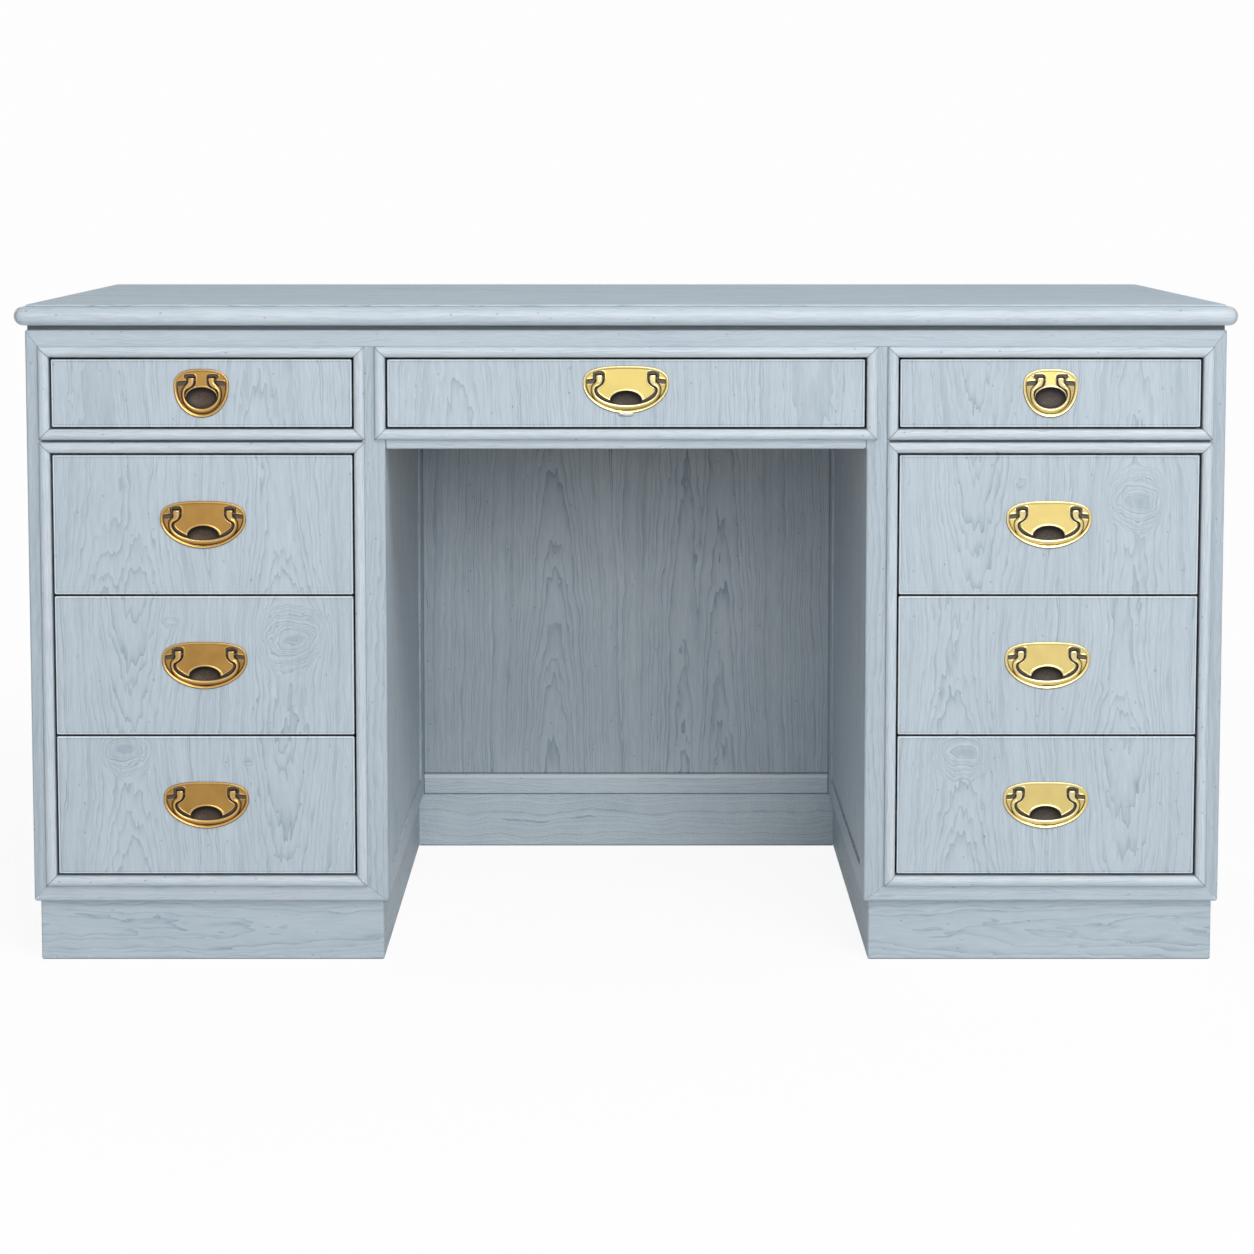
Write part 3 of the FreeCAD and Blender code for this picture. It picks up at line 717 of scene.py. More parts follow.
    def _counted(self) -> Socket:
        """Counts the rings: the distance from the nearest heart over the width of a ring.

        Returns:
            The ring number.
        """
        add, oak = self.add, self.oak
        across, _, along = add("SeparateXYZ", (self.space,))
        counts = []
        for heart in oak.hearts:
            up = add("Math:SUBTRACT", (along, heart.along))[0]
            slope = add("Math:MULTIPLY_ADD", (up, heart.bend, heart.lean))[0]
            deep = add("Math:MULTIPLY_ADD", (up, slope, heart.deep))[0]
            aside = add("Math:SUBTRACT", (across, heart.across))[0]
            radius = add("VectorMath:LENGTH", (add("CombineXYZ", (aside, deep))[0],))[1]
            counts.append(add("Math:DIVIDE", (radius, oak.ring_mm))[0])
        return folded(add, "SMOOTH_MIN", counts, 1.5)

    def _rings(self) -> Socket:
        """Growth rings as thin dark lines.

        In a knot a place's ring number falls towards the knot's middle, which is dark all over.
        Noise shakes the number, which draws the arches' tips into zigzags, and a line's darkness
        is the number's fraction to the power 3.5, times a strength that each ring has for itself.

        Returns:
            The darkness, from 0.
        """
        add, oak = self.add, self.oak
        number, eyes, pulls = self._counted(), [], []
        if oak.knots:
            lump = add("TexNoise", {"Vector": self.space, "Scale": 1.0 / oak.lump_mm,
                                    "Detail": 2.0})[0]
            lump = add("Math:SUBTRACT", (lump, 0.5))[0]
        for knot in oak.knots:
            reach = add("Math:MULTIPLY_ADD", (lump, 15.0, self._from_knot(self.space, knot)[1]))[0]
            edge = self._number_at(knot) - knot.radius / oak.knot_ring_mm
            inner = add("Math:MULTIPLY_ADD", (reach, 1.0 / oak.knot_ring_mm, edge))[0]
            pulls.append(add("MapRange", (reach, knot.radius * 0.5, knot.radius * 1.1, 1.0, 0.0),
                             interpolation_type="SMOOTHERSTEP")[0])
            number = add("Mix", {0: pulls[-1], 2: number, 3: inner})[0]
            eyes.append(add("MapRange", (reach, 0.5, knot.radius * 0.2, 1.0, 0.0))[0])
        number = add("Math:MULTIPLY_ADD", (self._streaks(Streak.ZIGZAG), oak.zigzag, number))[0]
        spread = add("TexNoise", {"W": number, "Scale": 0.55, "Detail": 0.0}, noise_dimensions="1D")[0]
        number = add("Math:MULTIPLY_ADD", (spread, 1.9, number))[0]
        part = add("Math:FRACT", (number,))[0]
        line = add("Math:POWER", (part, 3.5))[0]
        ring = add("Math:FLOOR", (number,))[0]
        chance = add("TexWhiteNoise", {"W": ring}, noise_dimensions="1D")[0]
        chance = add("Math:MULTIPLY_ADD", (self._streaks(Streak.FADE), 2.2, chance))[0]
        strong = add("MapRange", (chance, 0.75, 2.1, 0.25, 1.25))[0]
        if pulls:
            strong = add("Mix", {0: folded(add, "MAXIMUM", pulls), 2: strong, 3: 1.5})[0]
        line = add("Math:MULTIPLY", (line, strong))[0]
        return add("Mix", {0: folded(add, "MAXIMUM", eyes), 2: line, 3: 0.8})[0] if eyes else line

    def _flecks(self) -> Socket:
        """Small dark dings, one to three millimetres wide, in some of the cells of a pattern.

        Returns:
            1 in a ding and 0 elsewhere.
        """
        add = self.add
        across, _, along = add("SeparateXYZ", (self.space,))
        across = add("Math:ADD", (across, self.oak.seed * 7.3))[0]
        wide, high = self.oak.fleck_cell_mm
        flat = add("CombineXYZ", (across, along))[0]
        cells = add("VectorMath:MULTIPLY", (flat, (1 / wide, 1 / high, 0.0)))[0]
        away, chance = add("TexVoronoi", {"Vector": cells, "Scale": 1.0}, voronoi_dimensions="2D")[:2]
        dot = add("MapRange", (away, 0.018, 0.05, 1.0, 0.0))[0]
        picked = add("MapRange", (add("SeparateXYZ", (chance,))[0], 0.45, 0.75))[0]
        return add("Math:MULTIPLY", (dot, picked))[0]

    def _edged(self, total: Socket) -> Socket:
        """Adds a paler arris round the board, partly worn film and partly painted highlight, and
        painted shade in the fine line inside it.

        The way in from the edge is half the board's size less the distance from its middle, in
        whichever direction that is least.

        Args:
            total: The pattern so far.

        Returns:
            The pattern with its edge.
        """
        add, oak = self.add, self.oak
        x0, x1, z0, z1 = oak.panel
        middle = ((x0 + x1) / 2 * MM, 0.0, (z0 + z1) / 2 * MM)
        half = ((x1 - x0) / 2 * MM, 0.0, (z1 - z0) / 2 * MM)
        away = add("VectorMath:SUBTRACT", (self.spot, middle))[0]
        away = add("VectorMath:ABSOLUTE", (away,))[0]
        inside = add("VectorMath:SUBTRACT", (half, away))[0]
        across, _, up = add("SeparateXYZ", (inside,))
        edge = folded(add, "MINIMUM", [across, up])
        off = add("Math:SUBTRACT", (edge, oak.line_mm * MM))[0]
        off = add("Math:ABSOLUTE", (off,))[0]
        for way, (full, none), weight in ((edge, oak.arris_mm, oak.arris_wear_and_highlight),
                                          (off, oak.line_half_mm, oak.groove_shade_weight)):
            share = add("MapRange", (way, full * MM, none * MM, 1.0, 0.0))[0]
            total = add("Math:MULTIPLY_ADD", (share, weight, total))[0]
        return total


@dataclass(frozen=True)
class CastBrass(Finish):
    """Sand-cast brass: high parts rubbed bright and painted paler as highlights, flats lacquered, sunk
    parts left with a patina.

    Three layers of the mesh steer it. The patina layer is 0 on clean metal and 1 where it is
    whole: patina in the hollows, and painted shade along the plate's lower edge, on the bail's
    sides and on the tab's edges. The rubbed layer is 1 on the crests that hands polish, which are
    also painted paler as highlights. The bowl layer is 1 in the middle of the finger scoop and -1
    outside it. The scoop is near black, dark patina deepened by painted shade, with
    copper-coloured specks where fingers reach, fewer towards its top, which is left darker as
    painted shade.
    """

    name: str
    plain: str
    deep: str
    polish_and_highlight: str
    patina_and_shade: str
    scoop: str
    roughness: float
    wear: float
    # The scoop's near-black: dark patina deepened as painted shade.
    scoop_patina_and_shade: str = "#1e1c1a"
    clouds_mm: float = 21.0
    sand_mm: float = 0.6
    specks_mm: float = 1.3

    def material(self) -> Material:
        """Builds the material's nodes.

        Returns:
            The material.
        """
        material, add = blank_material(self.name)
        patina_and_shade, polish_and_highlight, bowl = (add("Attribute", attribute_name=layer)["Fac"]
                                for layer in ("patina_and_shade", "polish_and_highlight", "bowl"))
        spot = add("TexCoord")["Object"]
        cloud, sand, speck = (add("TexNoise", {"Vector": spot, "Scale": 1.0 / (size * MM),
                                               "Detail": 2.0})[0]
                              for size in (self.clouds_mm, self.sand_mm, self.specks_mm))
        mottle = add("MapRange", (cloud, 0.35, 0.75, 0.0, self.wear))[0]
        copper = add("MapRange", (speck, 0.4, 0.7, 0.35, 1.0))[0]
        copper = add("Math:MULTIPLY", (copper, bowl))[0]
        copper = add("Math:MAXIMUM", (copper, 0.0))[0]
        in_scoop = add("Math:GREATER_THAN", (bowl, -0.5))[0]
        metal = layered(add, linear(self.plain), [(mottle, self.deep), (polish_and_highlight, self.polish_and_highlight)])
        dark = layered(add, linear(self.patina_and_shade), [(in_scoop, self.scoop_patina_and_shade), (copper, self.scoop)])
        shade = add("Mix", {0: patina_and_shade, 6: metal, 7: dark}, data_type="RGBA")[2]
        gloss = add("MapRange", (patina_and_shade, 0.0, 1.0, self.roughness, 0.62))[0]
        gloss = add("Math:MULTIPLY_ADD", (polish_and_highlight, -0.1, gloss))[0]
        metallic = add("MapRange", (patina_and_shade, 0.0, 1.0, 1.0, 0.25))[0]
        bump = add("Bump", {"Height": sand, "Strength": 0.2, "Distance": 0.05 * MM})[0]
        shader = add("BsdfPrincipled", {"Base Color": shade, "Roughness": gloss,
                                        "Metallic": metallic, "Normal": bump})[0]
        add("OutputMaterial", {"Surface": shader})
        return material


@dataclass(frozen=True)
class PlatedSteel(Finish):
    """Zinc-plated steel: pale, cool and softly cloudy."""

    name: str
    colour: str
    roughness: float = 0.38
    clouds_mm: float = 2.5

    def material(self) -> Material:
        """Builds the material's nodes.

        Returns:
            The material.
        """
        material, add = blank_material(self.name)
        cloud = add("TexNoise", {"Vector": add("TexCoord")["Object"],
                                 "Scale": 1.0 / (self.clouds_mm * MM), "Detail": 3.0})[0]
        gloss = add("MapRange", (cloud, 0.0, 1.0, self.roughness - 0.08, self.roughness + 0.12))[0]
        shader = add("BsdfPrincipled", {"Base Color": linear(self.colour), "Metallic": 1.0,
                                        "Roughness": gloss})[0]
        add("OutputMaterial", {"Surface": shader})
        return material


@dataclass(frozen=True)
class TopEdge:
    """The half-round moulding round the top: four lengths, mitred at the rounded corners."""

    slab_x: float = 687.0
    slab_y: float = 317.0
    low: float = 741.0
    out: float = 13.0
    high: float = 21.5
    steps: int = 70
    fan: int = 7

    def profile(self) -> Array:
        """The section, as distance out and height: a half circle, a flat each side, the back.

        Returns:
            The section's points, (n, 2).
        """
        radius = self.high / 2
        turn = np.linspace(-QUARTER, QUARTER, 25)
        nose = np.stack([self.out - radius + radius * np.cos(turn), radius + radius * np.sin(turn)],
                        axis=1)
        back = np.stack([np.full(5, 0.05), np.linspace(self.high, 0.0, 5)], axis=1)
        return np.vstack([nose, back])

    def length(self, start: Array, end: Array, out: Array, seed: float) -> Shell:
        """One length: the section slides from corner to corner and turns half a corner at each.

        A point is base + distance out * direction, where the direction turns through 45 degrees
        about the slab's corner at each end. A slow sum of sines gives the hand-worked waver.

        Args:
            start: The slab's corner at the start.
            end: The slab's corner at the end.
            out: The direction outwards.
            seed: Moves the grain and the waver.

        Returns:
            The closed length.
        """
        section = self.profile()
        long = np.linalg.norm(end - start)
        share = np.concatenate([np.zeros(self.fan), np.linspace(0.0, 1.0, self.steps),
                                np.ones(self.fan)])
        turn = np.concatenate([np.linspace(-1, 0, self.fan + 1)[:-1], np.zeros(self.steps),
                               np.linspace(0, 1, self.fan + 1)[1:]]) * math.pi / 4
        base = start + share[:, None] * (end - start)
        direction = np.cos(turn)[:, None] * out + np.sin(turn)[:, None] * ((end - start) / long)
        waver = 0.09 * np.sin(share * 31.0 + seed * 5.0) + 0.06 * np.sin(share * 83.0 + seed)
        reach = section[None, :, 0] + waver[:, None] * (section[None, :, 0] > 6.0) * 0.7
        flat = base[:, None, :] + reach[..., None] * direction[:, None, :]
        height = np.broadcast_to(self.low + section[None, :, 1], reach.shape)
        rings = np.concatenate([flat, height[..., None]], axis=2)
        run = share * long + turn * self.out
        girth = lengths_along(section)
        grain = np.stack(np.broadcast_arrays(girth[None, :] + 60.0 * seed, 0.0 * reach + seed,
                                             run[:, None] + 90.0 * seed), axis=2) * MM
        seam_and_shade = np.broadcast_to(smooth_step(np.abs(turn), 0.7, math.pi / 4)[:, None], reach.shape)
        return rings_to_shell(rings, {"grain": grain, "seam_and_shade": seam_and_shade})

    def build(self, oak: Material) -> None:
        """Builds the four lengths as one piece.

        Args:
            oak: The moulding's material.
        """
        x, y = self.slab_x, self.slab_y
        corners = np.array([[-x, -y], [x, -y], [x, y], [-x, y]])
        outs = np.array([[0.0, -1.0], [1.0, 0.0], [0.0, 1.0], [-1.0, 0.0]])
        shells = [self.length(corners[k], corners[(k + 1) % 4], outs[k], k + 1.0) for k in range(4)]
        place(piece_from(joined(shells), "half_round_top_edge", oak), "case", "limed_oak",
              "top_edge_moulding")


@dataclass(frozen=True)
class OpeningBeads:
    """Mitred half-round beads on the face frame, round one or more openings."""

    name: str
    node: str
    openings: tuple[tuple[float, float, float, float], ...]
    face: float = -318.0
    wide: float = 12.3
    edge: float = 2.5
    proud: float = 6.5
    seam: float = 0.3
    ease: float = 0.25
    wave_high: float = 0.018
    dent_deep: float = 0.22
    dent_half: float = 2.2

    def section(self) -> Array:
        """The section, as distance across and height: a side, a rounded crown, a side, the back.

        The crown is the arc through both edges and the middle, and the two shoulders are eased.

        Returns:
            The section's points, (n, 2).
        """
        rise = self.proud - self.edge
        half = self.wide / 2
        radius = (half ** 2 + rise ** 2) / (2 * rise)
        reach = math.asin(half / radius)
        turn = np.linspace(-reach, reach, 21)
        crown = np.stack([half + radius * np.sin(turn), self.proud - radius + radius * np.cos(turn)],
                         axis=1)
        crown[0] += (self.ease, 0.0)
        crown[-1] -= (self.ease, 0.0)
        side = np.array([[0.0, 0.0], [0.0, self.edge * 0.5], [0.0, self.edge - self.ease]])
        under = np.array([[self.wide * 0.66, 0.0], [self.wide * 0.33, 0.0]])
        return np.vstack([side, crown, side[::-1] + (self.wide, 0.0), under])

    def strip(self, inner: float, seed: int) -> Shell:
        """One side, along X with its inner edge on z = 0.

        Each ring runs further out as it goes across, so that both ends are cut at 45 degrees.
        The crown is worn by a sum of slow sines, and has a few dents like bells.

        Args:
            inner: Length of the inner edge.
            seed: Moves the grain and the wear.

        Returns:
            The closed strip.
        """
        section = self.section()
        rng = np.random.default_rng(seed)
        half = inner / 2 - self.seam * 0.71 + section[:, 0]
        near_end = 1.0 - 0.9 / half.mean()
        share = np.concatenate([[-1.0], np.linspace(-near_end, near_end, max(12, int(inner / 9))),
                                [1.0]])
        x = share[:, None] * half[None, :]
        phases = rng.uniform(0, 2 * math.pi, 8)
        waves = rng.uniform(0.02, 0.16, 8)
        wear = (np.sin(x[..., None] * waves + phases)).sum(axis=2) * self.wave_high
        dent_at = rng.uniform(-inner / 2, inner / 2, 3)
        dents = np.exp(-((x[..., None] - dent_at) / self.dent_half) ** 2).sum(axis=2) * self.dent_deep
        across, rise = (np.broadcast_to(section[None, :, k], x.shape) for k in (0, 1))
        crown = (rise > self.edge) * (wear - dents)
        rings = np.stack([x, -(rise + crown), across], axis=2)
        grain = np.stack([across * 1.25 + 17.0 * seed, rise, x + 41.0 * seed], axis=2) * MM
        # The bead's foot, where it meets the frame, is painted darker as shade; its mitred ends are
        # dark joints.
        foot = 0.7 * (1.0 - smooth_step(rise, self.edge - 0.2, self.edge + 1.0))
        seam_and_shade = np.maximum(foot, (np.abs(share) == 1.0)[:, None])
        return rings_to_shell(rings, {"grain": grain, "seam_and_shade": seam_and_shade})

    def build(self, oak: Material) -> None:
        """Builds every side of every opening as one piece.

        Args:
            oak: The beads' material.
        """
        shells = []
        for number, (x0, x1, z0, z1) in enumerate(self.openings):
            size = (x1 - x0, z1 - z0)
            for turn in range(4):
                inner, out = size[turn % 2], size[1 - turn % 2] / 2
                strip = self.strip(inner, 7 * number + turn + len(self.name)).moved(0.0, 0.0, out)
                x, y, z = strip.points.T
                c, s = round(math.cos(turn * QUARTER)), round(math.sin(turn * QUARTER))
                strip.points = np.stack([c * x + s * z + (x0 + x1) / 2, y + self.face,
                                         c * z - s * x + (z0 + z1) / 2], axis=1)
                shells.append(strip.outward())
        place(piece_from(joined(shells), self.name, oak), "case", "limed_oak", self.node)


@dataclass(frozen=True)
class PullShape:
    """Sizes of a recessed pull seen from the front, in millimetres from the plate's middle.

    recess is the left half of the sunk channel's outline, bail the bail's middle line with its
    width, and slot the lower edge of the slot beside the hook, x and z at its two ends. Below
    the slot the floor between the bail and the rim is raised, and skirt is its patina.
    """

    half: float
    up: float
    down: float
    power_up: float
    power_down: float
    hook: tuple[float, float]
    scoop: tuple[float, float, float]
    slot: tuple[float, float, float, float]
    skirt: float
    recess: tuple[tuple[float, float], ...]
    bail: tuple[tuple[float, float, float], ...]

    def outline(self, inset: float, count: int = 440, dense: int = 8001) -> Array:
        """The plate's rounded half-moon: a superellipse with its own power above and below.

        x = half |cos a|^(2/p) and z = height |sin a|^(2/p), and the angles are chosen so that
        the points of the outermost outline are evenly spaced.

        Args:
            inset: How far inside the outermost outline.
            count: How many points.
            dense: How many angles it is measured at.

        Returns:
            The points, (count, 2).
        """
        angles = np.linspace(0.0, 2 * math.pi, dense)
        length = lengths_along(self._at(angles, 0.0))
        wanted = np.linspace(0.0, length[-1], count + 1)[:-1]
        return self._at(np.interp(wanted, length, angles), inset)

    def _at(self, angle: Array, inset: float) -> Array:
        """Points of the superellipse.

        Args:
            angle: Their angles.
            inset: How far inside the outermost outline.

        Returns:
            The points, (n, 2).
        """
        c, s = np.cos(angle), np.sin(angle)
        upper = s >= 0
        power = np.where(upper, 2.0 / self.power_up, 2.0 / self.power_down)
        high = np.where(upper, self.up, self.down) - inset
        x = np.sign(c) * np.abs(c) ** power * (self.half - inset)
        z = np.sign(s) * np.abs(s) ** power * high + (self.down - self.up) / 2
        return np.stack([x, z], axis=1)

    def bail_line(self, count: int) -> Array:
        """The bail's whole middle line with its width, rounded and evenly spaced."""
        return evenly(cut_corners(mirrored_run(self.bail, False), 4, False), count)


WIDE = PullShape(
    half=49.4, up=21.4, down=33.6, power_up=2.9, power_down=1.88, hook=(30.5, 13.0),
    scoop=(18.3, 11.6, -12.6), slot=(-45.0, 6.6, -33.0, 7.8), skirt=0.22,
    recess=((0.0, -32.0), (-14.0, -32.0), (-32.0, -26.0), (-46.0, -12.0), (-52.0, 2.0),
            (-50.0, 10.2), (-44.0, 11.2), (-36.3, 12.2), (-37.4, 15.5), (-37.4, 20.5), (-31.0, 20.7),
            (-25.0, 20.5), (-25.0, 15.0), (-25.3, 9.5), (-28.5, 5.2), (-33.6, 2.6), (-34.0, -1.8),
            (-31.0, -5.6), (-26.0, -9.2), (-19.0, -13.0), (-9.0, -16.4), (0.0, -17.4)),
    bail=((-30.6, 17.0, 7.4), (-30.6, 13.5, 7.4), (-30.4, 10.0, 7.0), (-32.6, 6.8, 5.6),
          (-36.3, 4.7, 4.6), (-38.0, 1.0, 4.0), (-37.7, -3.4, 4.0), (-35.2, -8.4, 4.5),
          (-30.6, -12.8, 5.2), (-24.0, -16.4, 5.8), (-12.5, -19.6, 6.2), (0.0, -20.5, 6.4)))
SMALL = PullShape(
    half=31.7, up=20.2, down=35.7, power_up=2.65, power_down=2.05, hook=(11.0, 15.0),
    scoop=(17.9, 12.2, -5.3), slot=(-27.0, 8.2, -15.0, 9.2), skirt=0.5,
    recess=((0.0, -32.0), (-12.0, -31.0), (-24.0, -22.0), (-32.0, -4.0), (-33.0, 8.0),
            (-27.4, 12.9), (-21.0, 13.5), (-16.0, 13.6), (-16.5, 15.6), (-19.3, 18.8),
            (-18.8, 21.0), (-13.0, 21.1), (-7.0, 21.0), (-7.0, 15.0), (-7.1, 9.8), (-9.5, 7.6),
            (-14.4, 5.4), (-18.4, 0.8), (-19.3, -5.0), (-17.8, -10.6), (-14.0, -14.8),
            (-7.6, -17.9), (0.0, -18.8)),
    bail=((-11.6, 17.8, 6.8), (-11.6, 14.2, 6.8), (-12.3, 10.6, 6.2), (-15.8, 7.8, 5.0),
          (-19.7, 5.0, 4.2), (-21.2, 0.6, 3.7), (-21.0, -4.6, 3.7), (-19.2, -10.2, 4.2),
          (-15.2, -15.2, 4.9), (-8.6, -19.4, 5.6), (0.0, -20.9, 6.0)))


def mirrored_run(half: tuple[tuple[float, ...], ...], closed: bool) -> Array:
    """A run and its mirror image in x, joined where the half run meets the middle.

    Args:
        half: The left half; a closed run starts and ends on x = 0, an open one ends there.
        closed: Whether the result is a loop.

    Returns:
        The whole run.
    """
    left = np.array(half)
    right = left[::-1].copy()
    right[:, 0] *= -1.0
    return np.vstack([left, right[1:-1] if closed else right[1:]])


def unit_tangents(line: Array, *run: Array) -> Array:
    """The direction of a line at each of its points, one row each."""
    tangent = np.stack([np.gradient(line[:, k], *run) for k in (0, 1)], axis=1)
    return tangent / np.hypot(*tangent.T)[:, None]


def brass_rings(zones: list[tuple[Array, Any, Any, Any, Any]]) -> Shell:
    """Closes zones of rings into one brass shell, with the layers that its finish reads.

    Args:
        zones: For each, its rings' x and z, (rings, steps, 2), and their depth, patina and painted
            shade, polish and painted highlight, and bowl layers, as arrays that fit the rings or as
            one number.

    Returns:
        The closed shell.
    """
    flat = np.concatenate([zone[0] for zone in zones])
    depth, patina_and_shade, polish_and_highlight, bowl = (
        np.concatenate([np.broadcast_to(zone[k], zone[0].shape[:2]) for zone in zones])
        for k in range(1, 5))
    rings = np.stack([flat[..., 0], depth, flat[..., 1]], axis=2)
    return rings_to_shell(rings, {"patina_and_shade": patina_and_shade, "polish_and_highlight": polish_and_highlight, "bowl": bowl})


@dataclass(frozen=True)
class RecessedPull:
    """A cast plate let into a drawer front, with a finger scoop and a swinging bail."""

    drawer: str
    shape: PullShape
    middle: tuple[float, float]
    slot: str
    tab: bool = False
    front: float = -319.6
    pivot: float = -317.6
    flange: float = 1.6
    body: float = 8.5
    field_deep: float = 0.75
    scoop_deep: float = 8.8
    channel_deep: float = 2.7
    bail_bed: float = 2.2
    hook_bed: float = 1.5
    skirt_high: float = 0.8
    lip_high: float = 0.38
    edge_high: float = 0.25
    bail_thick: float = 4.5
    pin_half: float = 8.1
    pin_radius: float = 1.2

    def plate_shell(self) -> Shell:
        """The plate: rings run from the scoop's bottom, over its edge, across the field and the
        rim, and round the back.

        In the bowl a ring at share s of the scoop's ellipse lies deep * sqrt(1 - s^2) down. The
        rim is a rounded ridge given by depth against distance in from the edge. Its crest is painted
        paler as polish and highlight, and its outer edge darker as patina and painted shade, more
        at the bottom, which light from above leaves in shade.

        Returns:
            The closed plate, at the origin, front at y = 0.
        """
        shape = self.shape
        rim = np.array([[0.0, 0.95], [0.12, 0.5], [0.45, 0.16], [0.95, 0.0], [1.5, 0.0],
                        [2.05, 0.14], [2.5, 0.36], [2.9, 0.58], [3.3, self.field_deep]])
        inner = shape.outline(rim[-1, 0])
        a, b, mid = shape.scoop
        centre = np.array([0.0, mid])
        ray = inner - centre
        scoop = centre + ray / np.hypot(ray[:, 0] / a, ray[:, 1] / b)[:, None]
        share = np.linspace(0.0, 1.0, 74)[:, None, None]
        field_rings = scoop[None] + share * (inner - scoop)[None]
        depth, patina_and_shade, polish_and_highlight = self.relief(field_rings[..., 0], field_rings[..., 1], inner)
        share = np.sin(np.linspace(0.03, QUARTER, 15))[:-1, None, None]
        bowl_rings = centre + share * (scoop - centre)[None]
        share = share[..., 0]
        bowl = self.field_deep + (self.scoop_deep - self.field_deep) * np.sqrt(1.0 - share ** 2)
        bowl = np.maximum(bowl, depth[0][None])
        high = (bowl_rings[..., 1] - mid) / b
        # Copper specks fade towards the bowl's upper wall, which is left darker as painted shade.
        finger_wear_and_shade = np.clip(1.0 - smooth_step(share + 0.35 * high, 0.45, 1.05), 0.0, 1.0)
        rim_rings = np.stack([shape.outline(inset) for inset in rim[::-1][1:, 0]])
        from_edge = rim[::-1][1:, :1]
        # The outer edge is darkened more at the bottom than at the top: patina, and painted shade from
        # light above. The ridge is painted paler as polish and highlight.
        low = smooth_step(-rim_rings[..., 1], -16.0, 12.0)
        tarnish_and_shade = (0.35 + 0.65 * low) * (1.0 - smooth_step(from_edge, 0.3, 0.75 + 0.3 * low))
        ridge = smooth_step(from_edge, 0.6, 1.2) * (1.0 - smooth_step(from_edge, 1.7, 2.4))
        back_rings = np.stack([shape.outline(inset) for inset in (0.0, 3.0, 3.0, 14.0)])
        back_depth = self.flange + self.body * np.array([0.0, 0.0, 1.0, 1.0])[:, None]
        return brass_rings([(bowl_rings, bowl, 1.0, 0.0, finger_wear_and_shade),
                            (field_rings, depth, patina_and_shade, polish_and_highlight, -1.0),
                            (rim_rings, rim[::-1][1:, 1:], tarnish_and_shade, ridge, -1.0),
                            (back_rings, back_depth, 1.0, 0.0, -1.0)])

    def relief(self, x: Array, z: Array, inner: Array) -> tuple[Array, Array, Array]:
        """Depth, patina and rubbed crests over the field.

        The depth steps down to the channel's floor over 0.75 mm of signed distance from the
        channel's outline, is deeper where the bail lies, and more again behind the hook, which
        swings in. The skirt is the part outside the bail, below the slot, and clear of a groove
        along the rim that runs out towards the bottom. Lips stand up round scoop and channel,
        painted paler as polish and highlight.

        Args:
            x: Across, from the plate's middle.
            z: Up.
            inner: The outline where the rim ends.

        Returns:
            The depth below the plate's front, the patina, and the polish with its painted highlight,
            from 0 to 1.
        """
        shape = self.shape
        recess = cut_corners(mirrored_run(shape.recess, True), 3, True)
        into = signed_distance(x, z, recess)
        from_rim = distance_to_run(x, z, np.vstack([inner, inner[:1]]))
        line = shape.bail_line(200)
        tangent = unit_tangents(line)
        aside = np.stack([-tangent[:, 1], tangent[:, 0]], axis=1) * line[:, 2:] / 2
        line = line[:, :2]
        on_bail = signed_distance(x, z, np.vstack([line + aside, (line - aside)[::-1]]))
        x0, z0, x1, z1 = shape.slot
        below_slot = z0 + (-np.abs(x) - x0) * (z1 - z0) / (x1 - x0) - z
        groove = 0.9 * smooth_step(z, -17.0, -9.0)
        on_skirt = np.minimum(np.minimum(-on_bail - 0.3, below_slot), from_rim - groove)
        skirt = smooth_step(np.where(inside_loop(x, z, line), -1.0, on_skirt), -0.3, 0.3)
        sunk = smooth_step(into, -0.95, -0.2) * smooth_step(from_rim, 0.0, 0.6)
        near = smooth_step(on_bail, -1.1, -0.5)
        behind = near * smooth_step(z, shape.hook[1] - 2.0, shape.hook[1])
        floor = (self.channel_deep + (self.bail_bed * near + self.hook_bed * behind) * (1.0 - skirt)
                 - self.skirt_high * skirt)
        depth = self.field_deep + (floor - self.field_deep) * sunk
        a, b, mid = shape.scoop
        from_scoop = (np.hypot(x / a, (z - mid) / b) - 1.0) * min(a, b)
        lip = smooth_step(from_scoop, 0.0, 0.5) * smooth_step(-from_scoop, -1.9, -1.1) * (1.0 - sunk)
        edge = smooth_step(into, -2.0, -1.4) * smooth_step(-into, 0.85, 1.15)
        depth = depth - self.lip_high * lip - self.edge_high * edge * smooth_step(from_rim, 0.4, 1.4)
        patina_and_shade = smooth_step(into, -0.95, -0.5) * (1.0 - (1.0 - shape.skirt) * skirt)
        patina_and_shade = np.maximum(patina_and_shade * smooth_step(from_rim, 0.0, 0.3),
                            0.25 * smooth_step(-from_scoop, -0.5, 0.0))
        return depth, patina_and_shade, np.clip(0.75 * lip + 0.7 * edge, 0.0, 1.0)

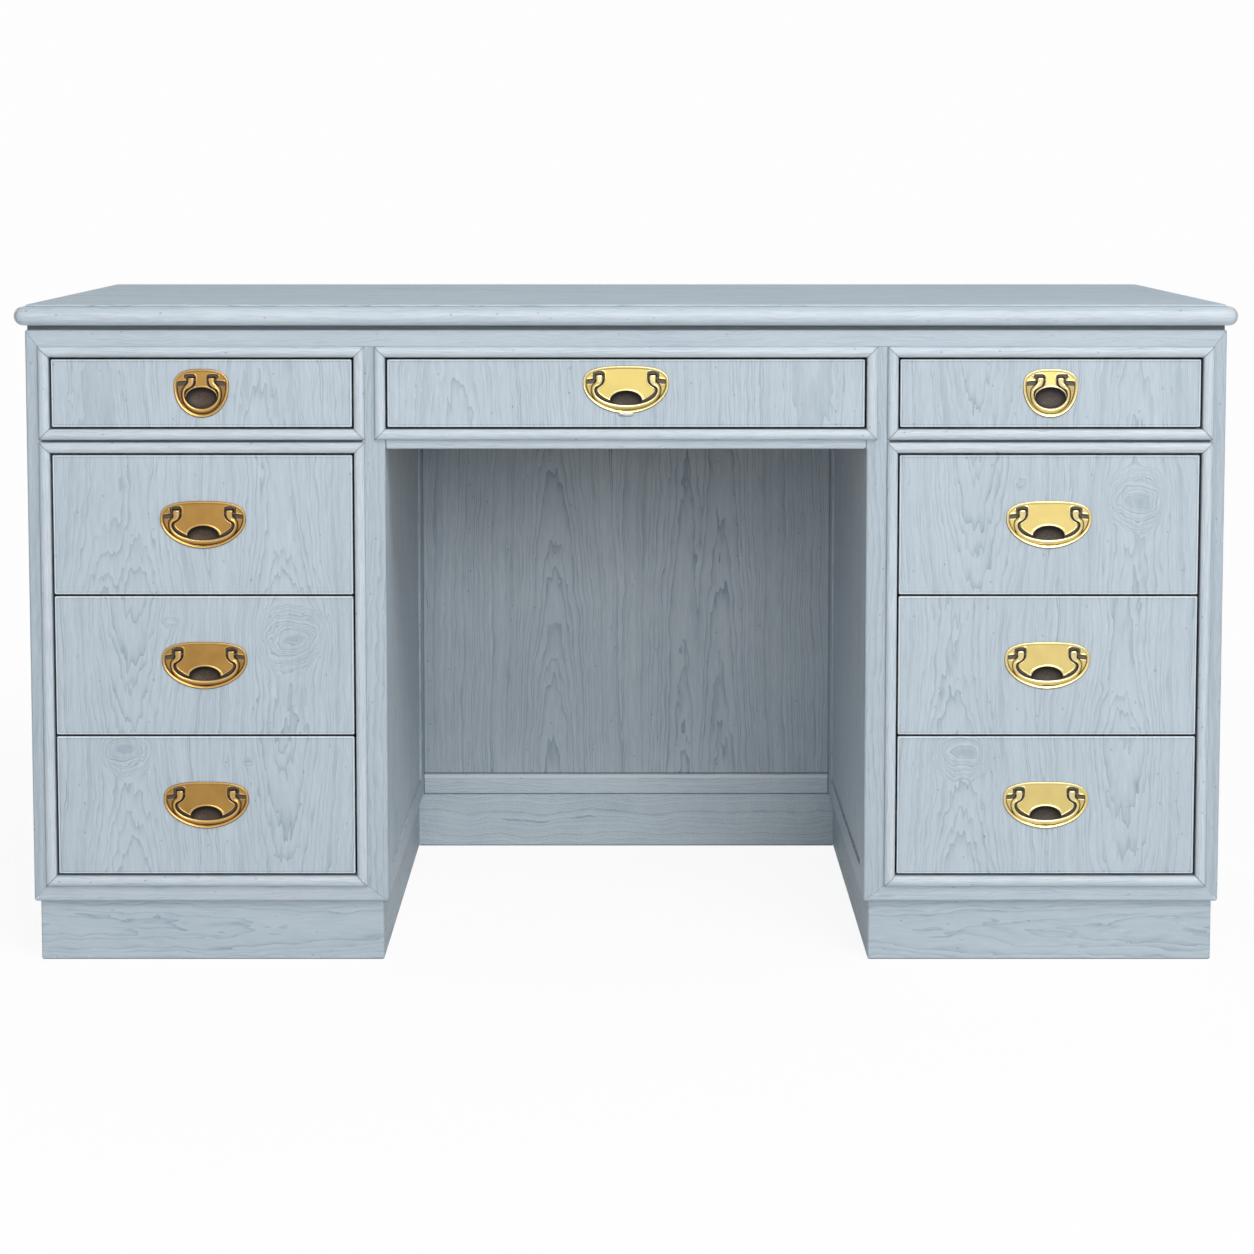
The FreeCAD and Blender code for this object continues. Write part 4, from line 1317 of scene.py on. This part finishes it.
    def bail_shell(self) -> Shell:
        """The bail: an oval section with its crest towards the scoop, carried along the middle
        line, wider at the bottom and at the hooks, with rounded ends, and a pin through each hook.

        A section point at angle a lies width / 2 * cos a across the line and
        thickness / 2 * sin a * (1 + 0.55 cos a) / 1.11 towards the front. Towards the hooks the
        lean goes, and the sine and cosine are taken to the power 0.55, which squares the section.
        The darkening on the sides, thinner on the outer one, and on the innermost edge is partly
        patina beside the channel and partly painted shade; the crest is painted paler as polish and
        highlight.

        Returns:
            The closed bail, at the plate's middle, its pivot at y = 0.
        """
        line = self.shape.bail_line(260)
        x, z, wide = line.T
        run = lengths_along(line)
        to_end = np.minimum(run, run[-1] - run)
        close = np.sqrt(np.clip(1.0 - (1.0 - np.clip(to_end / 0.9, 0.0, 1.0)) ** 2, 0.3, 1.0))
        tangent = unit_tangents(line, run)
        turn = np.linspace(0.0, 2 * math.pi, 25)[:-1]
        c, s = np.cos(turn), np.sin(turn)
        thick = self.bail_thick + 0.25 * smooth_step(-z, 8.0, 18.0)
        boxy = smooth_step(z, 5.0, 9.0)[:, None]
        power = 1.0 - 0.45 * boxy
        lean = (1.0 + 0.55 * (1.0 - boxy) * c[None]) / (1.11 - 0.11 * boxy)
        side = (wide * close / 2)[:, None] * (np.sign(c) * np.abs(c)[None] ** power)
        ahead = (thick * close / 2)[:, None] * np.sign(s) * np.abs(s) ** power * lean
        flat = np.stack([x[:, None] - tangent[:, 1:] * side, z[:, None] + tangent[:, :1] * side],
                        axis=2)
        front = smooth_step(ahead, -1.6, -0.2)
        crest = smooth_step(s, 0.3, 0.9) * np.maximum(smooth_step(c, -0.3, 0.25), 0.6 * boxy)
        outer = (smooth_step(-c, 0.0, 0.8) * smooth_step(s, -0.6, 0.0))[None] * (1.0 - boxy)
        sides = (1.0 - front) * (0.8 - 0.72 * outer)
        patina_and_shade = np.clip(0.5 * smooth_step(c, 0.82, 0.97)[None] + sides, 0.0, 1.0)
        shells = [brass_rings([(flat, -ahead, patina_and_shade, crest * front, -1.0)])]
        around = np.linspace(0.0, 2 * math.pi, 17)[:-1]
        half, radius = self.pin_half, self.pin_radius
        reach = np.array([-half, 0.2 - half, half - 0.2, half])[:, None]
        radii = np.array([radius - 0.2, radius, radius, radius - 0.2])[:, None]
        for sign in (-1.0, 1.0):
            pin = np.stack(np.broadcast_arrays(
                sign * self.shape.hook[0] + reach,
                self.shape.hook[1] + radii * np.sin(around)[None]), axis=2)
            shells.append(brass_rings([(pin, radii * np.cos(around)[None], 1.0, 0.0, -1.0)]))
        return joined(shells)

    def tab_shell(self) -> Shell:
        """The small plated strip under the plate: a rounded rectangle, 2.3 mm of it showing.

        Returns:
            The closed strip, at the plate's middle, the plate's front at y = 0.
        """
        bottom = self.shape.down - (self.shape.down - self.shape.up) / 2
        angle = np.linspace(0.0, 2 * math.pi, 49)[:-1]
        c, s = np.cos(angle), np.sin(angle)
        x = np.sign(c) * np.abs(c) ** 0.35 * 8.3
        z = np.sign(s) * np.abs(s) ** 0.35 * 2.0
        # The edges are painted dark as shade, and the face paler as a glint of painted highlight.
        inset, depth, tarnish_and_shade = np.array([[1.2, 0.7, 0.3, 0.0, 0.0], [0.3, 0.34, 0.55, 0.9, 1.55],
                                          [0.0, 0.0, 0.35, 1.0, 1.0]])[..., None]
        flat = np.stack([x - np.sign(c) * inset, z - np.sign(s) * inset - bottom - 0.9], axis=2)
        return brass_rings([(flat, depth, tarnish_and_shade, 1.0 - tarnish_and_shade, -1.0)])

    def build(self, brass: Material, nickel: Material) -> None:
        """Builds the plate, the bail and the tab where the drawer has one.

        Args:
            brass: The pull's material.
            nickel: The tab's material.
        """
        x, z = self.middle
        plate = self.plate_shell().moved(x, self.front, z)
        place(piece_from(plate, self.drawer + "_cast_plate", brass, 80.0),
              self.drawer + "_drawer", self.slot, self.drawer + "_pull_plate")
        bail = self.bail_shell().moved(x, self.pivot, z)
        place(piece_from(bail, self.drawer + "_swan_neck_bail", brass), self.drawer + "_bail",
              self.slot, self.drawer + "_bail")
        if self.tab:
            tab = self.tab_shell().moved(x, self.front, z)
            place(piece_from(tab, self.drawer + "_pull_tab", nickel), self.drawer + "_drawer",
                  "steel")


@dataclass(frozen=True)
class DrawerStack:
    """The nine drawers: veneered fronts, bare oak boxes and runners, and the pulls."""

    centre_rise: float = 4.0
    # The fronts' edges, seen in the gaps, are painted near black as shade.
    front_edges_shade: Band = Band(Axis.Y, -316.3, -290.0, 0.9)
    box_end: Band = Band(Axis.Y, 229.0, 260.0)

    def front(self, name: str) -> tuple[float, float, float, float]:
        """A drawer front's bounds in millimetres, x0, x1, z0, z1, read from the frame."""
        low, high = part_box(name + "_drawer_front")
        return low.x / MM, high.x / MM, low.z / MM, high.z / MM

    def veneers(self) -> dict[str, LimedOak]:
        """The veneer of each front, with its hearts and knots where the figure shows them.

        Returns:
            The veneers by the drawers' names.
        """
        figures = {
            "centre": ((Heart(-190.0, 660.0, 60.0, 0.05), Heart(215.0, 660.0, 70.0, -0.04)), ()),
            "left_top": ((Heart(-420.0, 660.0, 60.0, 0.06), Heart(-610.0, 660.0, 70.0, 0.03)), ()),
            "right_top": ((Heart(400.0, 660.0, 60.0, -0.06), Heart(590.0, 660.0, 55.0, 0.05)), ()),
            "left_upper": ((Heart(-598.0, 560.0, 58.0, 0.0, -0.0006),
                            Heart(-561.0, 550.0, 52.0, 0.0, -0.0006),
                            Heart(-396.0, 560.0, 45.0, 0.0, -0.0005)), ()),
            "left_middle": ((Heart(-569.0, 340.0, 48.0, -0.09), Heart(-388.0, 380.0, 50.0, 0.03)),
                            (Knot(-388.0, 379.0, 36.0), Knot(-526.0, 403.0, 9.0))),
            "left_lower": ((Heart(-573.0, 150.0, 48.0, 0.10), Heart(-395.0, 200.0, 44.0, -0.07)),
                           (Knot(-578.0, 251.0, 30.0), Knot(-437.0, 234.0, 6.0))),
            "right_upper": ((Heart(403.0, 500.0, 48.0, -0.09), Heart(586.0, 500.0, 50.0, 0.04)),
                            (Knot(585.0, 542.0, 34.0), Knot(451.0, 557.0, 8.0))),
            "right_middle": ((Heart(381.0, 390.0, 50.0, 0.0, -0.0005),
                              Heart(574.0, 400.0, 46.0, 0.0, -0.0005)), ()),
            "right_lower": ((Heart(391.0, 150.0, 48.0, 0.09), Heart(577.0, 190.0, 46.0, -0.06)),
                            (Knot(389.0, 246.0, 32.0),)),
        }
        seeds = {"c": 1.3, "l": 4.9, "r": 7.2}
        return {name: LimedOak("limed_oak_veneer_" + name, hearts=hearts, knots=knots,
                               seed=seeds[name[0]], panel=self.front(name), painted_light_and_joints=(self.front_edges_shade,))
                for name, (hearts, knots) in figures.items()}

    def build(self) -> None:
        """Dresses fronts, boxes and runners, and builds the nine pulls."""
        # The left pulls' brass: darker, reddish and brown-clouded, with a dull shine.
        antique = CastBrass("antique_cast_brass", "#a98348", "#8a6633", "#c9a76e", "#4f463b",
                            "#5d4c3d", 0.34, 0.5)
        # The right pulls' brass: pale yellow and even, with crisp bright crests.
        bright = CastBrass("right_pulls_cast_brass", "#dac580", "#c9b069", "#e2d4a7", "#5a5348",
                           "#584e46", 0.27, 0.4)
        # The centre pull's lacquered brass: the same yellow, a shade deeper and softer.
        centre = replace(bright, name="lacquered_cast_brass", plain="#c1ae6b", deep="#ae9955",
                         roughness=0.32).material()
        brasses = {"antique_brass": antique.material(), "bright_brass": bright.material()}
        # Worn nickel: dull grey, its face painted paler as a glint and its edges painted dark as shade.
        nickel = CastBrass("nickel_plated_strip", "#9d9b95", "#8a8881", "#b5b4af", "#33332f",
                           "#33332f", 0.4, 0.4).material()
        veneers = self.veneers()
        # Planed bare oak: warm and dry, darker at the pores, its ends across the grain.
        lining = SawnOak("planed_oak_drawer_lining", "#cdb48c", "#a98a5e", Grain.BACK_FACING_SIDE,
                         2.0, (self.box_end,), Grain.BACK_FACING_UP)
        lining.dress(*(name + "_drawer_box" for name in veneers))
        for name, veneer in veneers.items():
            x0, x1, z0, z1 = veneer.panel
            veneer.dress(name + "_drawer_front")
            rise = self.centre_rise if name == "centre" else 0.0
            shape = SMALL if name.endswith("_top") else WIDE
            slot = "antique_brass" if name.startswith("left") else "bright_brass"
            pull = RecessedPull(name, shape, ((x0 + x1) / 2, (z0 + z1) / 2 + rise), slot,
                                tab=name == "centre")
            pull.build(centre if name == "centre" else brasses[slot], nickel)
        # Waxed oak: a browner tone that sliding has evened out.
        SawnOak("waxed_oak_runners", "#b8996a", "#8d6d45", Grain.BACK_FACING_SIDE,
                5.0).dress("drawer_runners")


@dataclass(frozen=True)
class Case:
    """The desk's case: top, face frame, framed sides and backs, kneehole, plinths, boards.

    rails and stiles are the ends of the framed panels' open middles, slit the dark joint under
    the kneehole's panel deepened by painted shade, gap the painted shade between the beads, and
    corner the painted shade down its back corners.
    """

    rails: tuple[float, float] = (98.5, 690.0)
    stiles: tuple[float, float] = (-258.0, 262.0)
    slit: Band = Band(Axis.Z, 98.0, 100.6, 0.5)
    gap: tuple[float, float] = (606.7, 609.8)
    gap_ends: tuple[tuple[float, float], ...] = ((660.5, 670.5), (302.5, 312.5))
    corner: Band = Band(Axis.X, 274.3, 276.5, 0.45)

    def build(self) -> None:
        """Dresses every part of the case, and builds the moulding and the beads."""
        self._frame()
        self._carcase()
        self._kneehole()
        self._trim()

    def _frame(self) -> None:
        """Dresses the top, the reveal and the face frame."""
        # The top: the bluest, palest boards, with broad plain arches, painted paler than the rest as
        # light.
        LimedOak("limed_oak_top", Grain.ACROSS_FACING_UP, "#c9d8e3", "#a9bac7",
                 (Heart(60.0, 300.0, 60.0, 0.03), Heart(-170.0, -200.0, 60.0)), ring_weight=1.3,
                 seed=11.0, painted_light_and_joints=(Band(Axis.Z, 761.5, 763.1, 0.45),)).dress("desk_top")
        # Painted dark as the shade under the top's overhang, it makes a dark line between top and case.
        LimedOak("limed_oak_reveal", Grain.ACROSS_FACING_FRONT, "#727a7f", "#565f64",
                 seed=12.0).dress("top_reveal_frame")
        # Narrow upright boards, so the grain is quiet; the painted shade of the gap between the beads
        # runs into them.
        gap = tuple(Band(Axis.Z, *self.gap, 0.8, crossed=Band(Axis.X, *ends))
                    for ends in self.gap_ends)
        LimedOak("limed_oak_posts", Grain.UP_FACING_FRONT, "#bcc7cf", "#a0aeb9", seed=13.0,
                 ring_weight=0.6, painted_light_and_joints=gap).dress("front_posts")
        rail = self._rail()
        rail.dress("frieze_rail", "bottom_rails", "kneehole_apron")
        # The middle rails carry the painted shade of the gap between the beads.
        replace(rail, name="limed_oak_middle_rails",
                painted_light_and_joints=(Band(Axis.Z, *self.gap, 0.85),)).dress("middle_rails")

    def _rail(self) -> LimedOak:
        """Rails' oak: level streaks with faint long arches."""
        return LimedOak("limed_oak_rails", Grain.ACROSS_FACING_FRONT, "#c2ccd5", "#a8b5c0",
                        (Heart(-190.0, 0.0, 70.0, 0.03),), seed=14.0, ring_weight=0.7, zigzag=2.2)

    def _sides(self) -> LimedOak:
        """Framed sides' oak: upright arches in the panel, and level grain on its rails."""
        return LimedOak("limed_oak_framed_sides", Grain.UP_FACING_SIDE, "#bcc7cf", "#a0aeb9",
                        (Heart(150.0, 200.0, 50.0, 0.05), Heart(-110.0, 500.0, 50.0, -0.05)),
                        seed=15.0, cross=(Band(Axis.Z, *self.rails, within=False),
                                          Band(Axis.Y, *self.stiles)),
                        cross_grain=Grain.BACK_FACING_SIDE)

    def _plinth(self) -> LimedOak:
        """Plinths' oak: level grain, with a line of painted shade at the floor."""
        return LimedOak("limed_oak_plinths", Grain.ACROSS_FACING_FRONT, "#bcc8d0", "#a0afba",
                        (Heart(34.0, -500.0, 40.0, 0.02), Heart(40.0, 520.0, 40.0, -0.02)),
                        seed=18.0, cross=(Band(Axis.Y, -305.0, 307.0),),
                        cross_grain=Grain.BACK_FACING_SIDE, painted_light_and_joints=(Band(Axis.Z, -1.0, 1.6, 0.5),))

    def _carcase(self) -> None:
        """Dresses the outer sides, the backs, the plinths, and what is inside."""
        self._sides().dress("left_outer_side", "right_outer_side")
        # The pedestals' backs match the sides: upright arches between level rails.
        LimedOak("limed_oak_backs", Grain.UP_FACING_FRONT, "#bcc7cf", "#a0aeb9",
                 (Heart(-430.0, 300.0, 50.0), Heart(540.0, 500.0, 50.0, -0.06)), seed=16.0,
                 cross=(Band(Axis.Z, *self.rails, within=False),)).dress("pedestal_backs")
        plinth = self._plinth()
        plinth.dress("left_plinth")
        replace(plinth, name="limed_oak_right_plinth", seed=20.0).dress("right_plinth")
        # Sawn bare oak: brown and matt.
        SawnOak("sawn_oak_inside_boards", "#a98c66", "#7f6444", Grain.ACROSS_FACING_UP,
                7.0).dress("inside_boards")
        # Zinc plating: small cool bright heads under the top.
        PlatedSteel("zinc_plated_screws", "#c9ccd0").dress("top_fixing_screws")

    def _kneehole(self) -> None:
        """Dresses the kneehole's boards, painted paler than the rest as light in the kneehole's shade;
        their faces at the back of the desk are darkened towards the other boards again.
        """
        replace(self._sides(), name="limed_oak_kneehole_sides", light="#cad5dd", dark="#afbdc8",
                seed=19.0, painted_light_and_joints=(Band(Axis.Y, 317.0, 319.0, 0.14),)
                ).dress("left_inner_side", "right_inner_side")
        # The rail's upper edge has a painted highlight, below the dark slit under the panel,
        # and painted shade lies down its back corners.
        nosing = Band(Axis.Z, self.rails[0] - 5.5, self.rails[0] - 1.5, -0.75)
        replace(self._rail(), name="limed_oak_kneehole_rails", light="#e4eef5", dark="#c1ced8",
                polish_and_highlight="#f3f9ff",
                painted_light_and_joints=(nosing, Band(Axis.Z, 70.0, 72.0, 0.5), Band(Axis.Y, 314.0, 319.0, 0.33),
                       replace(self.corner, weight=0.4))).dress("modesty_rails")
        # A wide panel with three columns of tall, sharp arches, with a dark joint and painted shade
        # along its foot and painted shade down its back corners.
        LimedOak("limed_oak_back_panel", Grain.UP_FACING_FRONT, "#cad5dc", "#a9b6c1",
                 (Heart(-97.0, 400.0, 42.0, 0.055), Heart(79.0, 400.0, 46.0, 0.02),
                  Heart(129.0, 400.0, 42.0, 0.03)), ring_weight=1.05, zigzag=1.0, seed=17.0,
                 painted_light_and_joints=(self.slit, self.corner, Band(Axis.Y, 313.0, 317.0, 0.14))
                 ).dress("modesty_panel")
        plinth = self._plinth()
        replace(plinth, name="limed_oak_kneehole_plinth", seed=21.0, light="#e0ebf2",
                dark="#b8c7d1", hearts=self._rail().hearts, ring_mm=2.8, zigzag=0.8,
                painted_light_and_joints=plinth.painted_light_and_joints + (Band(Axis.Y, 309.0, 313.0, 0.3),)).dress("kneehole_plinth")

    def _trim(self) -> None:
        """Builds the moulding and the beads: close-grained oak, smooth enough to shine, and painted
        paler than the other boards, which adds to their highlights.
        """
        moulding = LimedOak("limed_oak_moulding", light="#d4dde4", dark="#a9b6c1",
                            hearts=(Heart(-40.0, 0.0, 20.0, 0.01),), ring_mm=2.6, ring_weight=0.6,
                            zigzag=2.2, from_layer=True, roughness=0.42, gloss=0.5).material()
        TopEdge().build(moulding)
        left, right, centre = (-661.0, -312.0), (312.0, 661.0), (-276.0, 276.0)
        row, bank = (622.0, 704.5), (101.5, 594.5)
        for name, openings in (("top_row", ((*centre, *row), (*right, *row), (*left, *row))),
                               ("left_bank", ((*left, *bank),)), ("right_bank", ((*right, *bank),))):
            OpeningBeads(name + "_mitred_beads", name + "_beads", openings).build(moulding)


@dataclass(frozen=True)
class Lamp:
    """A soft rectangular lamp: where it stands and its size in metres, and its power in watts."""

    name: str
    at: tuple[float, float, float]
    size: tuple[float, float]
    power: float
    mirrored: bool = True

    def build(self, aim_at: tuple[float, float, float] = (0.0, 0.0, 0.4)) -> None:
        """Adds the lamp.

        Args:
            aim_at: What it looks at, the middle of the desk.
        """
        data = bpy.data.lights.new(self.name, "AREA")
        data.shape = "RECTANGLE"
        data.size, data.size_y = self.size
        data.energy = self.power
        lamp = bpy.data.objects.new(self.name, data)
        aim = np.array(aim_at) - np.array(self.at)
        lamp.visible_glossy = self.mirrored
        lamp.location = self.at
        lamp.rotation_euler = (math.atan2(math.hypot(aim[0], aim[1]), -aim[2]), 0.0,
                               math.atan2(-aim[0], aim[1]))
        bpy.context.scene.collection.objects.link(lamp)


@dataclass(frozen=True)
class Studio:
    """White floor and surround, soft lamps before and behind the desk, and the photo's camera."""

    ambient: float = 0.24
    white: float = 0.985
    floor_glow: float = 0.915
    floor_reach: float = 40.0
    lens: float = 88.80
    shift: float = -0.14
    eye_mm: tuple[float, float, float] = (1.15, -3853.9, 916.1)
    pitch: float = 0.0902
    lamps: tuple[Lamp, ...] = (
        Lamp("key_lamp", (1.6, -3.9, 4.5), (3.1, 2.2), 148.0),
        Lamp("front_lamp", (0.95, -5.5, 1.8), (3.6, 1.7), 104.0),
        Lamp("fill_lamp", (-2.8, -3.4, 1.6), (2.0, 2.0), 9.0),
        Lamp("back_lamp", (-1.6, 5.2, 1.15), (3.4, 1.3), 105.0, mirrored=False))

    def build(self) -> None:
        """Adds the floor, the world, the lamps and the camera."""
        self._floor()
        self._world()
        for lamp in self.lamps:
            lamp.build()
        self._camera()

    def _seen(self, add: Adder) -> Socket:
        """Picks out the rays that see the white: from the camera, mirrored, or through glass.

        Args:
            add: Adds a node.

        Returns:
            1 for such rays, and 0 for those that only light.
        """
        path = add("LightPath")
        both = add("Math:ADD", (path["Is Camera Ray"], path["Is Glossy Ray"]))[0]
        return add("Math:ADD", (both, path["Is Transmission Ray"]), use_clamp=True)[0]

    def _floor(self) -> None:
        """A wide pale floor at z = 0: near the desk it keeps the shadow, far off it is as white
        as the surround, so that no horizon shows."""
        material, add = blank_material("matt_white_studio_floor")
        real, faint = (add("BsdfDiffuse", (linear(grey),))[0] for grey in ("#e6e6e6", "#575757"))
        away = add("VectorMath:LENGTH", (add("TexCoord")["Object"],))[1]
        far = add("MapRange", (away, 1.3, 2.6), interpolation_type="SMOOTHSTEP")[0]
        close = add("Emission", {"Strength": self.floor_glow})[0]
        close = add("AddShader", (faint, close))[0]
        white = add("Emission", {"Strength": self.white})[0]
        seen = add("MixShader", (far, close, white))[0]
        mixed = add("MixShader", (self._seen(add), real, seen))[0]
        add("OutputMaterial", {"Surface": mixed})
        mesh = bpy.data.meshes.new("studio_floor")
        reach = self.floor_reach
        mesh.from_pydata([(-reach, -reach, 0.0), (reach, -reach, 0.0), (reach, reach, 0.0),
                          (-reach, reach, 0.0)], [], [(0, 1, 2, 3)])
        mesh.materials.append(material)
        floor = bpy.data.objects.new("studio_floor", mesh)
        bpy.context.scene.collection.objects.link(floor)

    def _world(self) -> None:
        """A white surround: about 1 where it is seen, lower where it only lights."""
        world = bpy.data.worlds.new("white_studio")
        world.use_nodes = True
        world.node_tree.nodes.clear()
        add = partial(add_node, world.node_tree)
        strength = add("MapRange", (self._seen(add), 0.0, 1.0, self.ambient, self.white))[0]
        back = add("Background", (linear("#ffffff"), strength))[0]
        add("OutputWorld", {"Surface": back})
        bpy.context.scene.world = world

    def _camera(self) -> None:
        """The photo's view: level across, a little above the top and pitched down."""
        data = bpy.data.cameras.new("photo_camera")
        data.lens = self.lens
        data.sensor_width = 36.0
        data.shift_y = self.shift
        data.clip_end = 200.0
        camera = bpy.data.objects.new("photo_camera", data)
        camera.location = [value * MM for value in self.eye_mm]
        camera.rotation_euler = (QUARTER - self.pitch, 0.0, 0.0)
        bpy.context.scene.collection.objects.link(camera)
        bpy.context.scene.camera = camera


def main() -> None:
    """Builds the desk's pieces and the studio."""
    logging.basicConfig(level=logging.INFO, format="%(name)s: %(message)s")
    Case().build()
    DrawerStack().build()
    Studio().build()
    bpy.context.scene.view_settings.view_transform = "Standard"


if __name__ == "__main__":
    main()
